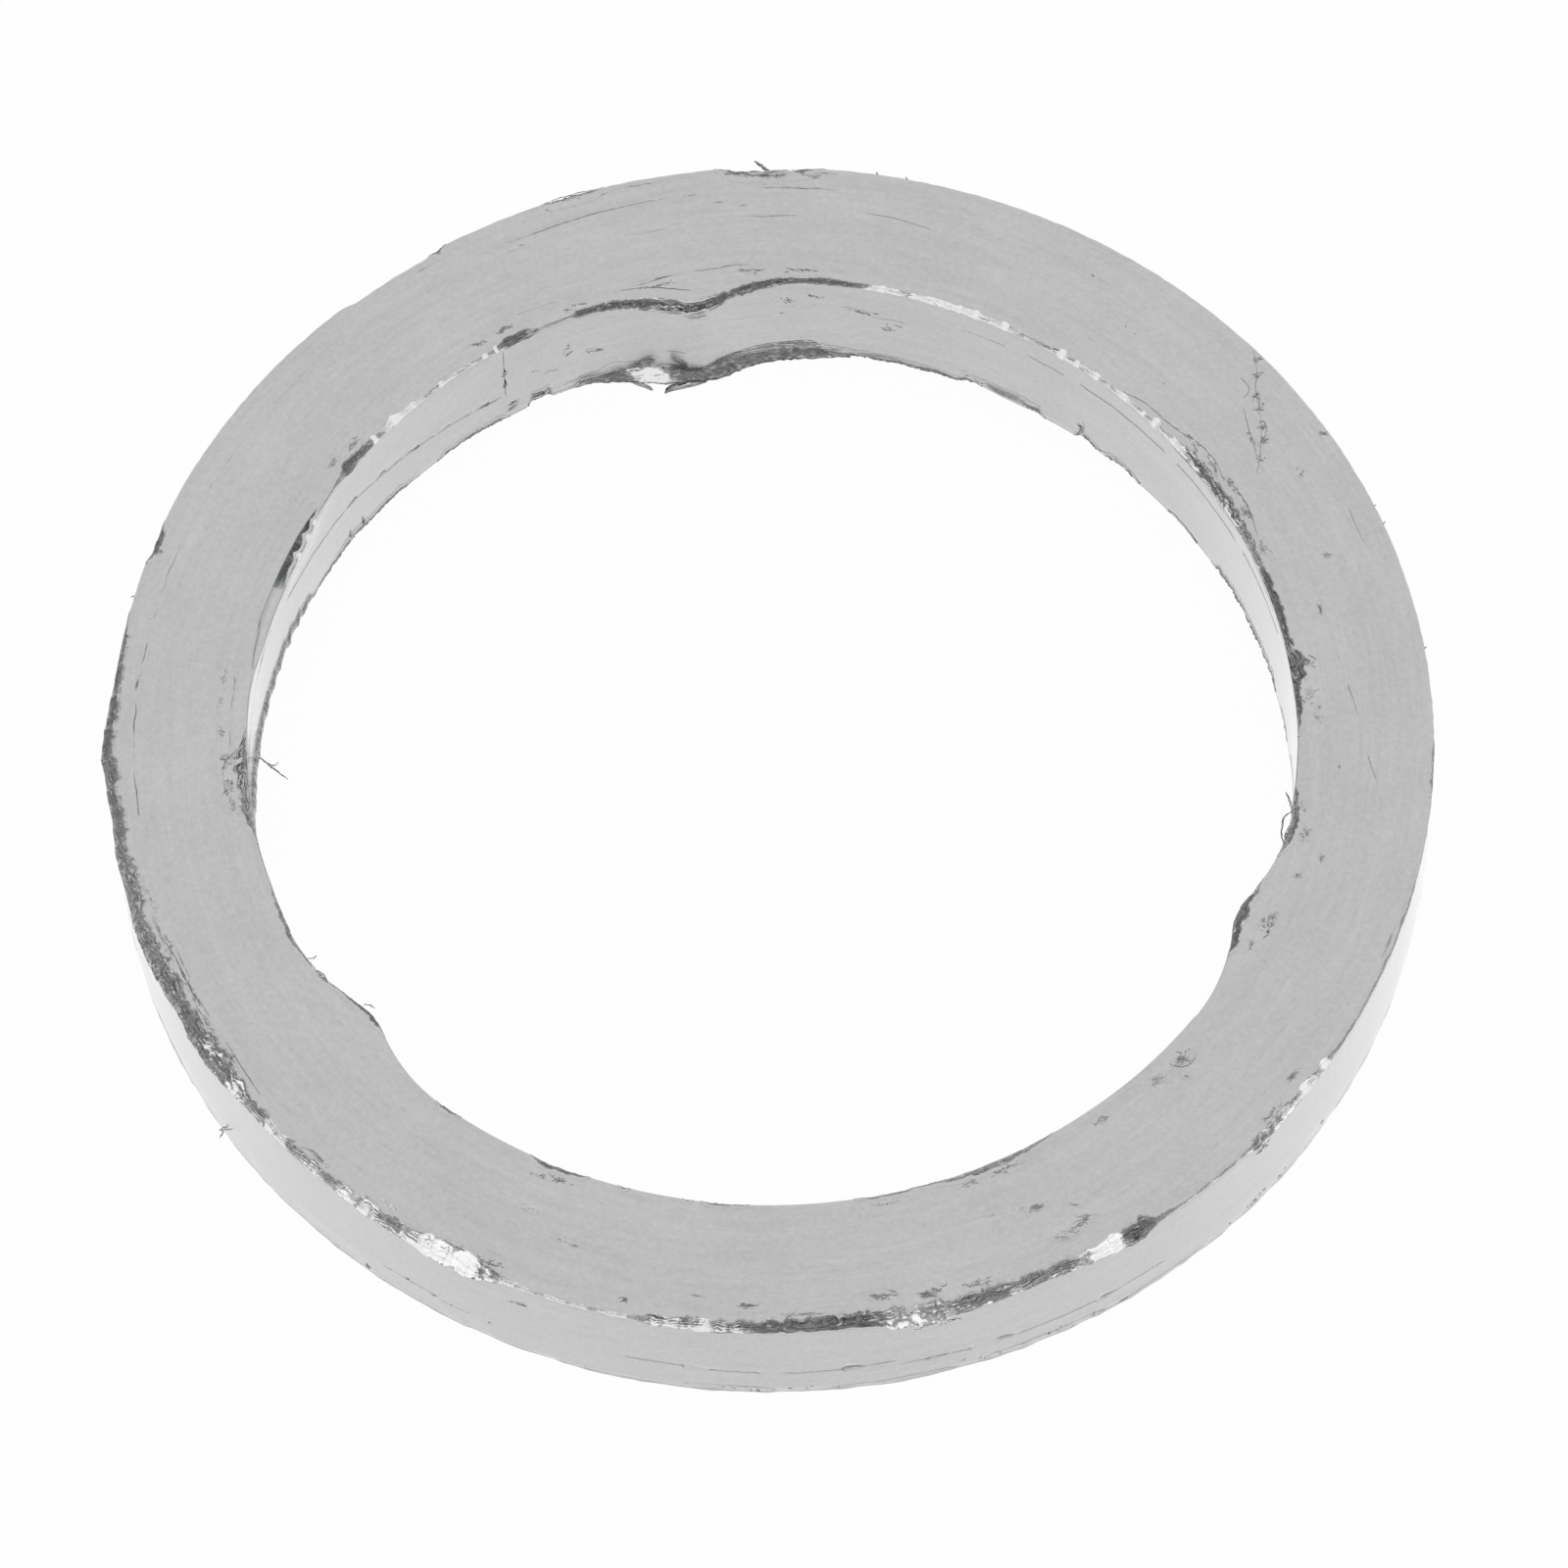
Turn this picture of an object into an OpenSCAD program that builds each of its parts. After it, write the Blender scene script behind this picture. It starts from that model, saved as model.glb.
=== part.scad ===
// Exhaust sealing ring: soft foil strip wound up and pressed into one solid ring.
// It lies flat with +Z up, and its origin is on the axis, in the plane of the underside.
// Angles are in degrees, counted from +X towards +Y. Lengths are in millimetres.

/* [Ring] */
// Bore diameter between the dents
bore_d = 38.5; // [34:0.1:46]
// Width of the ring from the bore to the outer wall
band_w = 5; // [4:0.1:7]
// Thickness from face to face
thickness = 5.3; // [4.6:0.1:8]
// Bevel that the press leaves along the outer edges
edge_bevel = 0.12; // [0.05:0.01:0.2]

/* [Grip dents] */
// How far each dent stands into the bore
dent_depth = 0.8; // [0.4:0.05:1.2]
// Radius of a dent's crest
dent_crest_r = 2; // [1:0.25:3]
// Radius of the hollow on either side of a dent
dent_side_r = 7; // [4:0.5:8]

/* [Winding] */
// Turns of foil between the bore and the outer wall
turns = 20; // [12:1:30]
// Width of a crack between two turns
crack_w = 0.08; // [0.04:0.01:0.15]
// Depth of a crack between two turns
crack_depth = 0.2; // [0.05:0.05:0.5]
// Length of the open strip end down the bore wall
seam_length = 3.6; // [1:0.1:4.5]
// Width of the open strip end
seam_w = 0.1; // [0.05:0.01:0.2]
// Depth of the open strip end
seam_depth = 0.18; // [0.05:0.01:0.4]

/* [Torn edges] */
// Angle between two facets of a torn edge
tear_step = 2.25; // [1:0.25:4]
// Unevenness of a torn surface
tear_rough = 0.07; // [0:0.01:0.12]
// Thickness of the flash squeezed out under the bore
flash_t = 0.22; // [0.1:0.02:0.5]
// How deep the outer edge is flattened on one side
flat_depth = 0.17; // [0.05:0.01:0.3]
// How far the flattened place reaches down the wall
flat_height = 2.5; // [1:0.1:4]

/* [Hidden] */
$fn = 180;

foil_grey = [0.73, 0.74, 0.735];
bore_r = bore_d / 2;
outer_r = bore_r + band_w;
turn_t = band_w / turns;

// A cutter reaches this far past the face or wall that it opens
reach = 0.4;

// The blank starts this far inside the dents, and the dents are rooted this far outside the bore
spare = 1;
flash_root = 0.7;

// Facets of a torn edge overlap by this angle, and none is shallower than this
facet_overlap = 0.1;
least_tear = 0.04;
lip_step = 1.5;
splinter_t = 0.3;

// Directions in which the three dents lie, and the end of the strip in the bore
dent_angles = [98, 217.7, 335.5];
seam_angle = 120.7;
flat_angle = 125.5;

// The crest circle of a dent, and a side circle that cuts the bore by side_cut, so their arcs cross cleanly
side_cut = 0.03;
crest_x = bore_r - dent_depth + dent_crest_r;
side_x = bore_r - dent_side_r + side_cut;
blend = dent_crest_r + dent_side_r;
side_angle = acos((crest_x^2 + side_x^2 - blend^2) / (2 * crest_x * side_x));
crest_centre = [crest_x, 0];
side_centre = side_x * [cos(side_angle), sin(side_angle)];
side_end = (bore_r + spare) * [cos(side_angle), sin(side_angle)];
tangent_point = crest_centre + (side_centre - crest_centre) * dent_crest_r / blend;
crest_angle = atan2(tangent_point.y, tangent_point.x);

// Cracks in the faces: start angle, start turn, end angle, end turn, counted outward from the bore
face_cracks = [
    [0.5, 9.2, 5, 7.8],
    [5.4, 7.7, 9, 6.8],
    [12.2, 5.8, 14.5, 5.2],
    [18, 16.2, 24.5, 16.2],
    [73, 12.2, 84, 13.4],
    [85, 11.6, 90, 11.6],
    [93, 16, 105, 15.9],
    [105.4, 15.9, 118, 15.6],
    [99.4, 10.8, 100.8, 10.8],
    [102.5, 10.6, 104, 10.6],
    [92, 2.4, 94, 1.5],
    [94.4, 1.4, 98, 1.2],
    [98.4, 1.2, 102, 2],
    [102.4, 2.1, 106, 2.8],
    [106.4, 2.9, 109, 3.4],
    [109.4, 3.5, 118, 4.2],
    [105, 19.1, 110.2, 18.8],
    [121, 18, 124, 18],
    [126, 18.2, 130, 17.8],
    [171.5, 2.4, 181, 2.4],
    [201, 17, 209, 17],
    [210, 14.6, 224, 14.2],
    [211.5, 3.6, 226, 4.2],
    [273.5, 17.6, 278, 16.4],
    [350.5, 13.2, 353, 12.2],
    [353.4, 12, 357.7, 9.8],
    [358, 9.6, 359.6, 9],
];

// Cracks where a turn has parted through the whole height, so both faces show them
through_cracks = [
    [9.4, 6.8, 20, 6.6],
    [80, 16.4, 89, 16.4],
    [91, 16.4, 99, 16.8],
    [99.4, 16.8, 107, 16.4],
    [136, 16, 151, 16.2],
    [151.5, 16.2, 169, 16.2],
    [169.4, 16.2, 175, 16.4],
    [175.4, 16.6, 188, 16.4],
    [144, 4, 162, 4],
    [162.5, 3.8, 171, 3.6],
    [334, 17.2, 359, 17.2],
];

// Cracks along the walls: start angle, end angle, distance below the upper face
outer_wall_cracks = [
    [256.5, 264, 3.3],
    [264.6, 270, 3.5],
    [270.6, 277, 3.55],
    [277.5, 280, 3.4],
    [280.5, 284.5, 3.7],
    [285, 288, 3.8],
    [288.4, 290, 3.65],
    [290.5, 300, 3.8],
    [300.6, 304, 3.75],
];
bore_wall_cracks = [
    [13.5, 26, 1.15],
    [26.5, 39.5, 1.2],
    [40, 54.4, 1.25],
    [55, 59.3, 1.3],
    [63, 66, 1.35],
    [123, 127.5, 3.45],
    [128, 132.7, 3.3],
    [133.2, 137.5, 3],
    [138, 144, 2.7],
    [144.6, 152, 2.45],
    [152.6, 158.5, 2.2],
];

// Scratch across the upper face: angle and turn of each corner
scratch = [
    [30.5, 7.2],
    [32, 9],
    [34, 11.8],
    [35.7, 13.2],
    [37.3, 13.8],
    [38.5, 15.4],
    [39.7, 16.4],
    [39, 17.4],
    [40, 19],
    [41.3, 19.8],
];
scratch_branch = [
    [32, 8.6],
    [34, 9.6],
    [37, 11.6],
];

// A tear's rows hold the angle, its width on the face, its drop on the wall and how deep it is hollowed.
// Negative widths lie off the edge, so a tear runs out at both ends.
clear = -0.12;
outer_tears = [
    [
        [168, clear, clear, 0],
        [170, 0.2, 0.2, 0.05],
        [175, 0.3, 0.4, 0.1],
        [180, 0.35, 0.6, 0.15],
        [184, 0.45, 0.7, 0.15],
        [190, 0.5, 0.9, 0.1],
        [196, 0.5, 1.3, 0.1],
        [203, 0.5, 1.05, 0.1],
        [206.5, 0.45, 0.8, 0.1],
        [210, 0.45, 1.15, 0.1],
        [214, 0.5, 0.7, 0.15],
        [217, 0.42, 0.3, 0.1],
        [230, 0.4, 0.3, 0.1],
        [236, 0.5, 0.6, 0.1],
        [242, 0.5, 0.85, 0.05],
        [246, 0.3, 0.2, 0.05],
        [248, 0.15, 0.1, 0],
        [257, 0.15, 0.1, 0],
        [260, 0.35, 0.3, 0.1],
        [267, 0.35, 0.3, 0.1],
        [271, 0.5, 0.12, 0.3],
        [278, 0.5, 0.12, 0.35],
        [279.5, 0.5, 0.7, 0.15],
        [282.5, 0.45, 1.2, 0.1],
        [286, 0.4, 0.85, 0.1],
        [290, 0.4, 0.45, 0.1],
        [293, 0.4, 0.2, 0.1],
        [297, 0.4, 0.6, 0.1],
        [299, 0.35, 0.3, 0.05],
        [301, 0.45, 0.75, 0.15],
        [303, 0.4, 0.75, 0.15],
        [304.5, clear, clear, 0],
    ],
    [
        [314.5, clear, clear, 0],
        [315.6, 0.3, 0.9, 0.1],
        [318, 0.3, 0.5, 0.1],
        [320.5, 0.2, 0.15, 0],
        [324, 0.3, 0.2, 0.1],
        [326.5, clear, clear, 0],
    ],
    [
        [84.5, clear, clear, 0],
        [86.5, 0.3, 0.2, 0.1],
        [89.5, 0.42, 0.3, 0.15],
        [92.5, 0.3, 0.3, 0.1],
        [94.5, clear, clear, 0],
    ],
    [
        [157.5, clear, clear, 0],
        [159, 0.22, 0.3, 0.1],
        [160.5, 0.22, 0.3, 0.1],
        [162, clear, clear, 0],
    ],
];
upper_bore_tears = [
    [
        [-1.5, clear, clear, 0],
        [1.5, 0.2, 0.15, 0.05],
        [5, 0.25, 0.2, 0.05],
        [7, 0.6, 0.35, 0.1],
        [9.5, 0.25, 0.2, 0.05],
        [20, 0.22, 0.2, 0.08],
        [24, 0.2, 0.15, 0.05],
        [30, 0.3, 0.2, 0.1],
        [35, 0.4, 0.25, 0.1],
        [38, 0.25, 0.15, 0.05],
        [41.5, 0.3, 0.24, 0.02],
        [44.8, clear, clear, 0],
    ],
    [
        [48, clear, clear, 0],
        [50.5, 0.3, 0.22, 0],
        [52.5, 0.12, 0.1, 0],
        [55.3, 0.4, 0.3, 0],
        [57.5, clear, clear, 0],
    ],
    [
        [60.5, clear, clear, 0],
        [62.5, 0.4, 0.28, 0],
        [64.5, 0.14, 0.12, 0],
        [70, 0.22, 0.16, 0],
        [78, 0.22, 0.16, 0],
        [83, 0.22, 0.2, 0.05],
        [88, 0.2, 0.35, 0.1],
        [93, 0.2, 0.7, 0.1],
        [98.5, 0.25, 0.85, 0.1],
        [103, 0.2, 0.6, 0.1],
        [107, 0.2, 0.3, 0.05],
        [112, 0.15, 0.15, 0],
        [116, 0.2, 0.15, 0],
        [119.5, 0.4, 0.3, 0.1],
        [122, 0.14, 0.12, 0],
        [128, 0.14, 0.12, 0],
        [133, 0.14, 0.12, 0],
        [135.5, 0.35, 0.3, 0],
        [138, 0.14, 0.12, 0],
        [140.5, 0.3, 0.2, 0.05],
        [143.5, 0.3, 0.4, 0.1],
        [146, clear, clear, 0],
    ],
    [
        [148, clear, clear, 0],
        [151, 0.3, 0.15, -0.03],
        [155, 0.5, 0.3, -0.06],
        [165, 0.5, 0.3, -0.06],
        [170, 0.3, 0.15, -0.03],
        [173.5, clear, clear, 0],
    ],
    [
        [178, clear, clear, 0],
        [180.5, 0.3, 0.15, 0.05],
        [184, 0.6, 0.25, 0.1],
        [188, 0.5, 0.25, 0.1],
        [191, 0.15, 0.1, 0],
        [193, clear, clear, 0],
    ],
    [
        [200, clear, clear, 0],
        [203, 0.2, 0.14, 0.05],
        [206, 0.2, 0.14, 0.05],
        [209, clear, clear, 0],
    ],
    [
        [213, clear, clear, 0],
        [215.5, 0.15, 0.3, 0.05],
        [218.5, 0.25, 0.5, 0.1],
        [220.5, 0.15, 0.3, 0.05],
        [223, clear, clear, 0],
    ],
    [
        [242, clear, clear, 0],
        [244, 0.3, 0.2, 0.1],
        [248, 0.25, 0.2, 0.1],
        [250, clear, clear, 0],
    ],
    [
        [277.5, clear, clear, 0],
        [280, 0.25, 0.15, 0.05],
        [283, 0.2, 0.15, 0.05],
        [287, 0.12, 0.1, 0],
        [291, 0.35, 0.15, 0.05],
        [297, 0.3, 0.15, 0.05],
        [301, clear, clear, 0],
    ],
    [
        [329.5, clear, clear, 0],
        [332, 0.3, 0.4, 0.1],
        [335, 0.45, 0.5, 0.15],
        [338, 0.25, 0.35, 0.1],
        [340.5, clear, clear, 0],
    ],
    [
        [343.5, clear, clear, 0],
        [346, 0.4, 0.2, 0.1],
        [350, 0.3, 0.2, 0.1],
        [352.5, clear, clear, 0],
    ],
];
lower_bore_tears = [
    [
        [-3, clear, clear, 0],
        [0, 0.13, 0.35, 0.04],
        [4, 0.13, 0.3, 0.04],
        [6, clear, clear, 0],
    ],
    [
        [12, clear, clear, 0],
        [14, 0.13, 0.35, 0.04],
        [29, 0.13, 0.35, 0.04],
        [31, clear, clear, 0],
    ],
    [
        [43.5, clear, clear, 0],
        [45.5, 0.15, 0.45, 0.04],
        [48, 0.15, 0.4, 0.04],
        [51, 0.18, 0.5, 0.06],
        [53.5, clear, clear, 0],
    ],
    [
        [56, clear, clear, 0],
        [58, 0.15, 0.6, 0.06],
        [66, 0.15, 0.6, 0.06],
        [68, 0.12, 0.35, 0.04],
        [80, 0.13, 0.4, 0.04],
        [86, 0.15, 0.5, 0.1],
        [90, 0.2, 0.7, 0.1],
        [98.5, 0.22, 0.55, 0.1],
        [104, 0.2, 0.8, 0.1],
        [110, 0.15, 0.45, 0.05],
        [113, clear, clear, 0],
    ],
    [
        [119.5, clear, clear, 0],
        [121.5, 0.14, 0.45, 0.04],
        [129, 0.14, 0.4, 0.04],
        [131, clear, clear, 0],
    ],
    [
        [132.5, clear, clear, 0],
        [135, 0.12, 0.35, 0.04],
        [143, 0.18, 0.6, 0.05],
        [152, 0.12, 0.35, 0.04],
        [157, 0.2, 0.75, 0.08],
        [163, 0.2, 0.6, 0.08],
        [180, 0.2, 0.7, 0.08],
        [188, 0.12, 0.4, 0.04],
        [191, clear, clear, 0],
    ],
];

// A lip's rows hold the angle, how far it stands out of the wall and how far it reaches down the wall.
// Negative values lie inside the wall, so a lip runs out at both ends.
outer_lip = [
    [171, clear, 1],
    [174, 0.02, 1],
    [178, 0.25, 1.4],
    [181, 0.43, 1.6],
    [184, 0.22, 1.4],
    [187, 0.06, 1.2],
    [190, 0.2, 1.4],
    [193.5, 0.05, 1.6],
    [197, 0.2, 2.4],
    [201, 0.1, 2],
    [205, clear, 1.6],
];
bore_lip = [
    [147, clear, 1.2],
    [150, 0.06, 1.3],
    [154, 0.26, 1.5],
    [161, 0.26, 1.6],
    [167, 0.18, 1.4],
    [171, 0.05, 1.3],
    [174, clear, 1.2],
];

// Flash under the first dent, with its two hooked tips: angle and how far it stands into the bore
flash_edge = [
    [82, -0.3],
    [84, 0.17],
    [88, 0.35],
    [90, 0.5],
    [92, 0.65],
    [94, 0.9],
    [96, 1.06],
    [99, 1.18],
    [102.4, 1.34],
    [101.2, 1.02],
    [102.6, 0.82],
    [104.4, 0.76],
    [103.9, 1.1],
    [106, 0.69],
    [108, 0.29],
    [110.5, -0.3],
];

// Splinters on the outer wall: angle and how far each corner stands out of the wall
back_splinter = [
    [89.7, -0.2],
    [89.9, 0],
    [90.9, 0.26],
    [90.7, -0.02],
    [90.8, -0.2],
];
low_splinter = [
    [217, -0.2],
    [217.2, 0],
    [217.7, 0.3],
    [218.1, 0.05],
    [218.3, -0.2],
];

function polar(r, a) = r * [cos(a), sin(a)];

// Radius of the bore wall in a direction, dents included
function bore_wall_r(a) =
    let (
        d = min([for (n = dent_angles) abs((a - n + 540) % 360 - 180)]),
        e = d - side_angle
    )
    d > side_angle ? bore_r
    : d > crest_angle ? side_x * cos(e) + sqrt(dent_side_r^2 - (side_x * sin(e))^2)
    : crest_x * cos(d) - sqrt(dent_crest_r^2 - (crest_x * sin(d))^2);

// Value in a column of rows at an angle
function at(rows, a, column) = lookup(a, [for (row = rows) [row[0], row[column]]]);

// How far a lip stands out at an angle
function lip_out(side, a) = side > 0 ? max(0, at(outer_lip, a, 1)) : max(0, at(bore_lip, a, 1));

// Repeatable unevenness between -1 and 1
function uneven(a, k) = sin(a * 97 + k * 131) * 0.6 + sin(a * 223 + k * 57) * 0.4;

// A point by its distance out of the wall and out of the face.
// side is 1 on the outer wall and -1 in the bore; face is 1 on top and -1 underneath.
function edge_point(side, face, a, out, up) =
    let (
        r = (side > 0 ? outer_r : bore_wall_r(a)) + side * out,
        z = face > 0 ? thickness + up : -up
    )
    [r * cos(a), r * sin(a), z];

// Section of a lip at one angle, as five points round the raised material
function lip_section(rows, side, a) =
    let (out = at(rows, a, 1), drop = at(rows, a, 2), root = reach)
    [
        edge_point(side, 1, a, -root, -0.03),
        edge_point(side, 1, a, out * 0.5 - 0.05, -0.03),
        edge_point(side, 1, a, out, -0.15 * drop),
        edge_point(side, 1, a, out * 0.8, -0.5 * drop),
        edge_point(side, 1, a, -root, -drop),
    ];

// Solid through a row of five-point sections, closed at both ends
module sweep(sections, flip) {
    n = len(sections);
    m = len(sections[0]);
    sides = [
        for (i = [0:n - 2], j = [0:m - 1])
            let (k = (j + 1) % m)
                each [
                    [i * m + j, (i + 1) * m + j, (i + 1) * m + k],
                    [i * m + j, (i + 1) * m + k, i * m + k],
                ]
    ];
    ends = [
        for (j = [1:m - 2]) each [
            [0, j, j + 1],
            [(n - 1) * m, (n - 1) * m + j + 1, (n - 1) * m + j],
        ]
    ];
    faces = concat(sides, ends);
    polyhedron(
        [for (section = sections) each section],
        flip ? [for (f = faces) [f[2], f[1], f[0]]] : faces
    );
}

// Angles from one end of the rows to the other
function steps(rows, step) =
    let (
        first = rows[0][0],
        last = rows[len(rows) - 1][0],
        count = ceil((last - first) / step)
    )
    [for (i = [0:count]) first + (last - first) * i / count];

// One facet of a torn edge, between two angles
module tear_facet(rows, side, face, a0, a1) {
    a = (a0 + a1) / 2;
    w = at(rows, a, 1) + tear_rough * uneven(a, 1);
    d = at(rows, a, 2) + 1.5 * tear_rough * uneven(a, 2);
    fold = 0.5 + 0.2 * uneven(a, 3);
    hollow = at(rows, a, 3) + tear_rough * (0.5 + uneven(a, 4));
    lip = face > 0 ? lip_out(side, a) : 0;
    edge = side > 0 ? outer_r : bore_wall_r(a);
    if (min(w, d) > least_tear)
        rotate(a0 - facet_overlap)
            rotate_extrude(angle = a1 - a0 + 2 * facet_overlap)
                translate([edge, face > 0 ? thickness : 0])
                    polygon([
                        [-side * (w + reach / 4), face * reach],
                        [-side * (w * fold + hollow), -face * (d * (1 - fold) + hollow)],
                        [side * (lip + reach), -face * (d + reach / 4)],
                        [side * (lip + reach), face * reach],
                    ]);
}

module tear(rows, side, face) {
    angles = steps(rows, tear_step);
    for (i = [0:len(angles) - 2])
        tear_facet(rows, side, face, angles[i], angles[i + 1]);
}

module lip(rows, side)
    sweep([for (a = steps(rows, lip_step)) lip_section(rows, side, a)], side < 0);

// The hollow on one side of a dent, from behind the crest to where it runs into the bore
module dent_side() {
    difference() {
        polygon([crest_centre, side_centre, side_end, crest_centre + [dent_crest_r, 0]]);
        translate(side_centre) circle(dent_side_r);
    }
}

module dent() {
    translate(crest_centre) circle(dent_crest_r);
    dent_side();
    mirror([0, 1]) dent_side();
}

module bore() {
    translate([0, 0, -reach])
        linear_extrude(thickness + 2 * reach)
            difference() {
                circle(bore_r);
                for (a = dent_angles) rotate(a) dent();
            }
}

module blank() {
    inside = bore_r - dent_depth - spare;
    rotate_extrude()
        polygon([
            [inside, 0],
            [outer_r - edge_bevel, 0],
            [outer_r, edge_bevel],
            [outer_r, thickness - edge_bevel],
            [outer_r - edge_bevel, thickness],
            [inside, thickness],
        ]);
}

// One crack in the upper face, as an arc through both of its ends
module face_crack(c) {
    r0 = bore_r + c[1] * turn_t;
    r1 = bore_r + c[3] * turn_t;
    p0 = polar(r0, c[0]);
    p1 = polar(r1, c[2]);
    r = (r0 + r1) / 2;
    chord = p1 - p0;
    half = norm(chord) / 2;
    inward = [-chord.y, chord.x] / norm(chord);
    centre = (p0 + p1) / 2 + inward * sqrt(r^2 - half^2);
    from = p0 - centre;
    translate([centre.x, centre.y, thickness])
        rotate(atan2(from.y, from.x))
            rotate_extrude(angle = 2 * asin(half / r))
                polygon([
                    [r - crack_w, crack_depth],
                    [r, -crack_depth],
                    [r + crack_w, crack_depth],
                ]);
}

// One crack along a wall
module wall_crack(c, r, side) {
    rotate(c[0])
        rotate_extrude(angle = c[1] - c[0])
            translate([r, thickness - c[2]])
                polygon([
                    [side * crack_depth, -crack_w],
                    [-side * crack_depth, 0],
                    [side * crack_depth, crack_w],
                ]);
}

// Straight groove from one corner of a scratch to the next
module scratch_line(corners) {
    for (i = [0:len(corners) - 2]) {
        a = polar(bore_r + corners[i][1] * turn_t, corners[i][0]);
        b = polar(bore_r + corners[i + 1][1] * turn_t, corners[i + 1][0]);
        translate([a.x, a.y, thickness])
            rotate([90, 0, 90 + atan2(b.y - a.y, b.x - a.x)])
                linear_extrude(norm(b - a) * 0.94)
                    polygon([[-crack_w, crack_depth], [0, -crack_depth / 2], [crack_w, crack_depth]]);
    }
}

module seam() {
    rotate(seam_angle)
        translate([bore_r, 0, thickness - seam_length])
            linear_extrude(seam_length + reach)
                polygon([[-seam_depth, -seam_w], [seam_depth, 0], [-seam_depth, seam_w]]);
}

// Wedge that flattens the upper outer edge on one side
module flat() {
    tilt = atan(flat_depth / flat_height);
    rotate(flat_angle)
        translate([outer_r, 0, thickness - flat_height])
            rotate([0, -tilt, 0])
                translate([0, -outer_r / 2, -reach])
                    cube([outer_r, outer_r, flat_height + 3 * reach]);
}

module flash() {
    root = bore_r + flash_root;
    first = flash_edge[0][0];
    last = flash_edge[len(flash_edge) - 1][0];
    translate([0, 0, 0.02])
        linear_extrude(flash_t)
            polygon(concat(
                [for (p = flash_edge) polar(bore_r - p[1], p[0])],
                [for (a = [last:-2.5:first]) polar(root, a)]
            ));
}

// A splinter with its underside at a height
module splinter(corners, low) {
    translate([0, 0, low])
        linear_extrude(splinter_t)
            polygon([for (p = corners) polar(outer_r + p[1], p[0])]);
}

module ring() color(foil_grey) {
    difference() {
        union() {
            difference() {
                blank();
                bore();
            }
            lip(outer_lip, 1);
            lip(bore_lip, -1);
        }
        for (rows = outer_tears) tear(rows, 1, 1);
        for (rows = upper_bore_tears) tear(rows, -1, 1);
        for (rows = lower_bore_tears) tear(rows, -1, -1);
        for (c = concat(face_cracks, through_cracks)) face_crack(c);
        for (c = through_cracks) translate([0, 0, thickness]) mirror([0, 0, 1]) face_crack(c);
        for (c = outer_wall_cracks) wall_crack(c, outer_r, 1);
        for (c = bore_wall_cracks) wall_crack(c, bore_r, -1);
        scratch_line(scratch);
        scratch_line(scratch_branch);
        seam();
        flat();
    }
    flash();
    splinter(back_splinter, thickness - splinter_t - 0.05);
    splinter(low_splinter, 0.15);
}

ring();
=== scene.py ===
# Exhaust sealing ring of pressed graphite foil, lying on a white table.
# Lengths in the dictionaries are millimetres, angles are degrees from +X towards +Y.
import math
import bpy
import numpy as np
from mathutils import Matrix, Vector


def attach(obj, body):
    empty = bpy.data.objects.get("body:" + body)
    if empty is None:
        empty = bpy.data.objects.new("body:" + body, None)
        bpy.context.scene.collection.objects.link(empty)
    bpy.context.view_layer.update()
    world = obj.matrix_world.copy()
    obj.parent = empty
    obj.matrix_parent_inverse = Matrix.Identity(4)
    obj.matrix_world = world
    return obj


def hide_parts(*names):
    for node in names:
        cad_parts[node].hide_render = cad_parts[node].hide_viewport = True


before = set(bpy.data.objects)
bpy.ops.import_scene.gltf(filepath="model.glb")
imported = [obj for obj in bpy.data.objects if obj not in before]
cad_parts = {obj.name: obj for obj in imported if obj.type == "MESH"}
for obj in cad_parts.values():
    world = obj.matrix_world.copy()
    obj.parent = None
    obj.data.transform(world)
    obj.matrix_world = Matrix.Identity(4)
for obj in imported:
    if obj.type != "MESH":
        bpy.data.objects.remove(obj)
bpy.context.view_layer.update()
print("frame loaded")

mm = 0.001
outerR = 24.25
boreR = 19.25
height = 5.3
turnWidth = (outerR - boreR) / 20


# Shader boards

class Wire:  # an output socket that can be used in sums
    def __init__(self, board, socket):
        self.board = board
        self.socket = socket

    def sums(self, kind, first, second):
        return self.board.put("ShaderNodeMath", {"operation": kind}, {0: first, 1: second})

    def __add__(self, other):
        return self.sums("ADD", self, other)

    def __radd__(self, other):
        return self.sums("ADD", other, self)

    def __sub__(self, other):
        return self.sums("SUBTRACT", self, other)

    def __rsub__(self, other):
        return self.sums("SUBTRACT", other, self)

    def __mul__(self, other):
        return self.sums("MULTIPLY", self, other)

    def __rmul__(self, other):
        return self.sums("MULTIPLY", other, self)

    def __truediv__(self, other):
        return self.sums("DIVIDE", self, other)

    def out(self, index):  # another output of the same node
        return Wire(self.board, self.socket.node.outputs[index])


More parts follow.
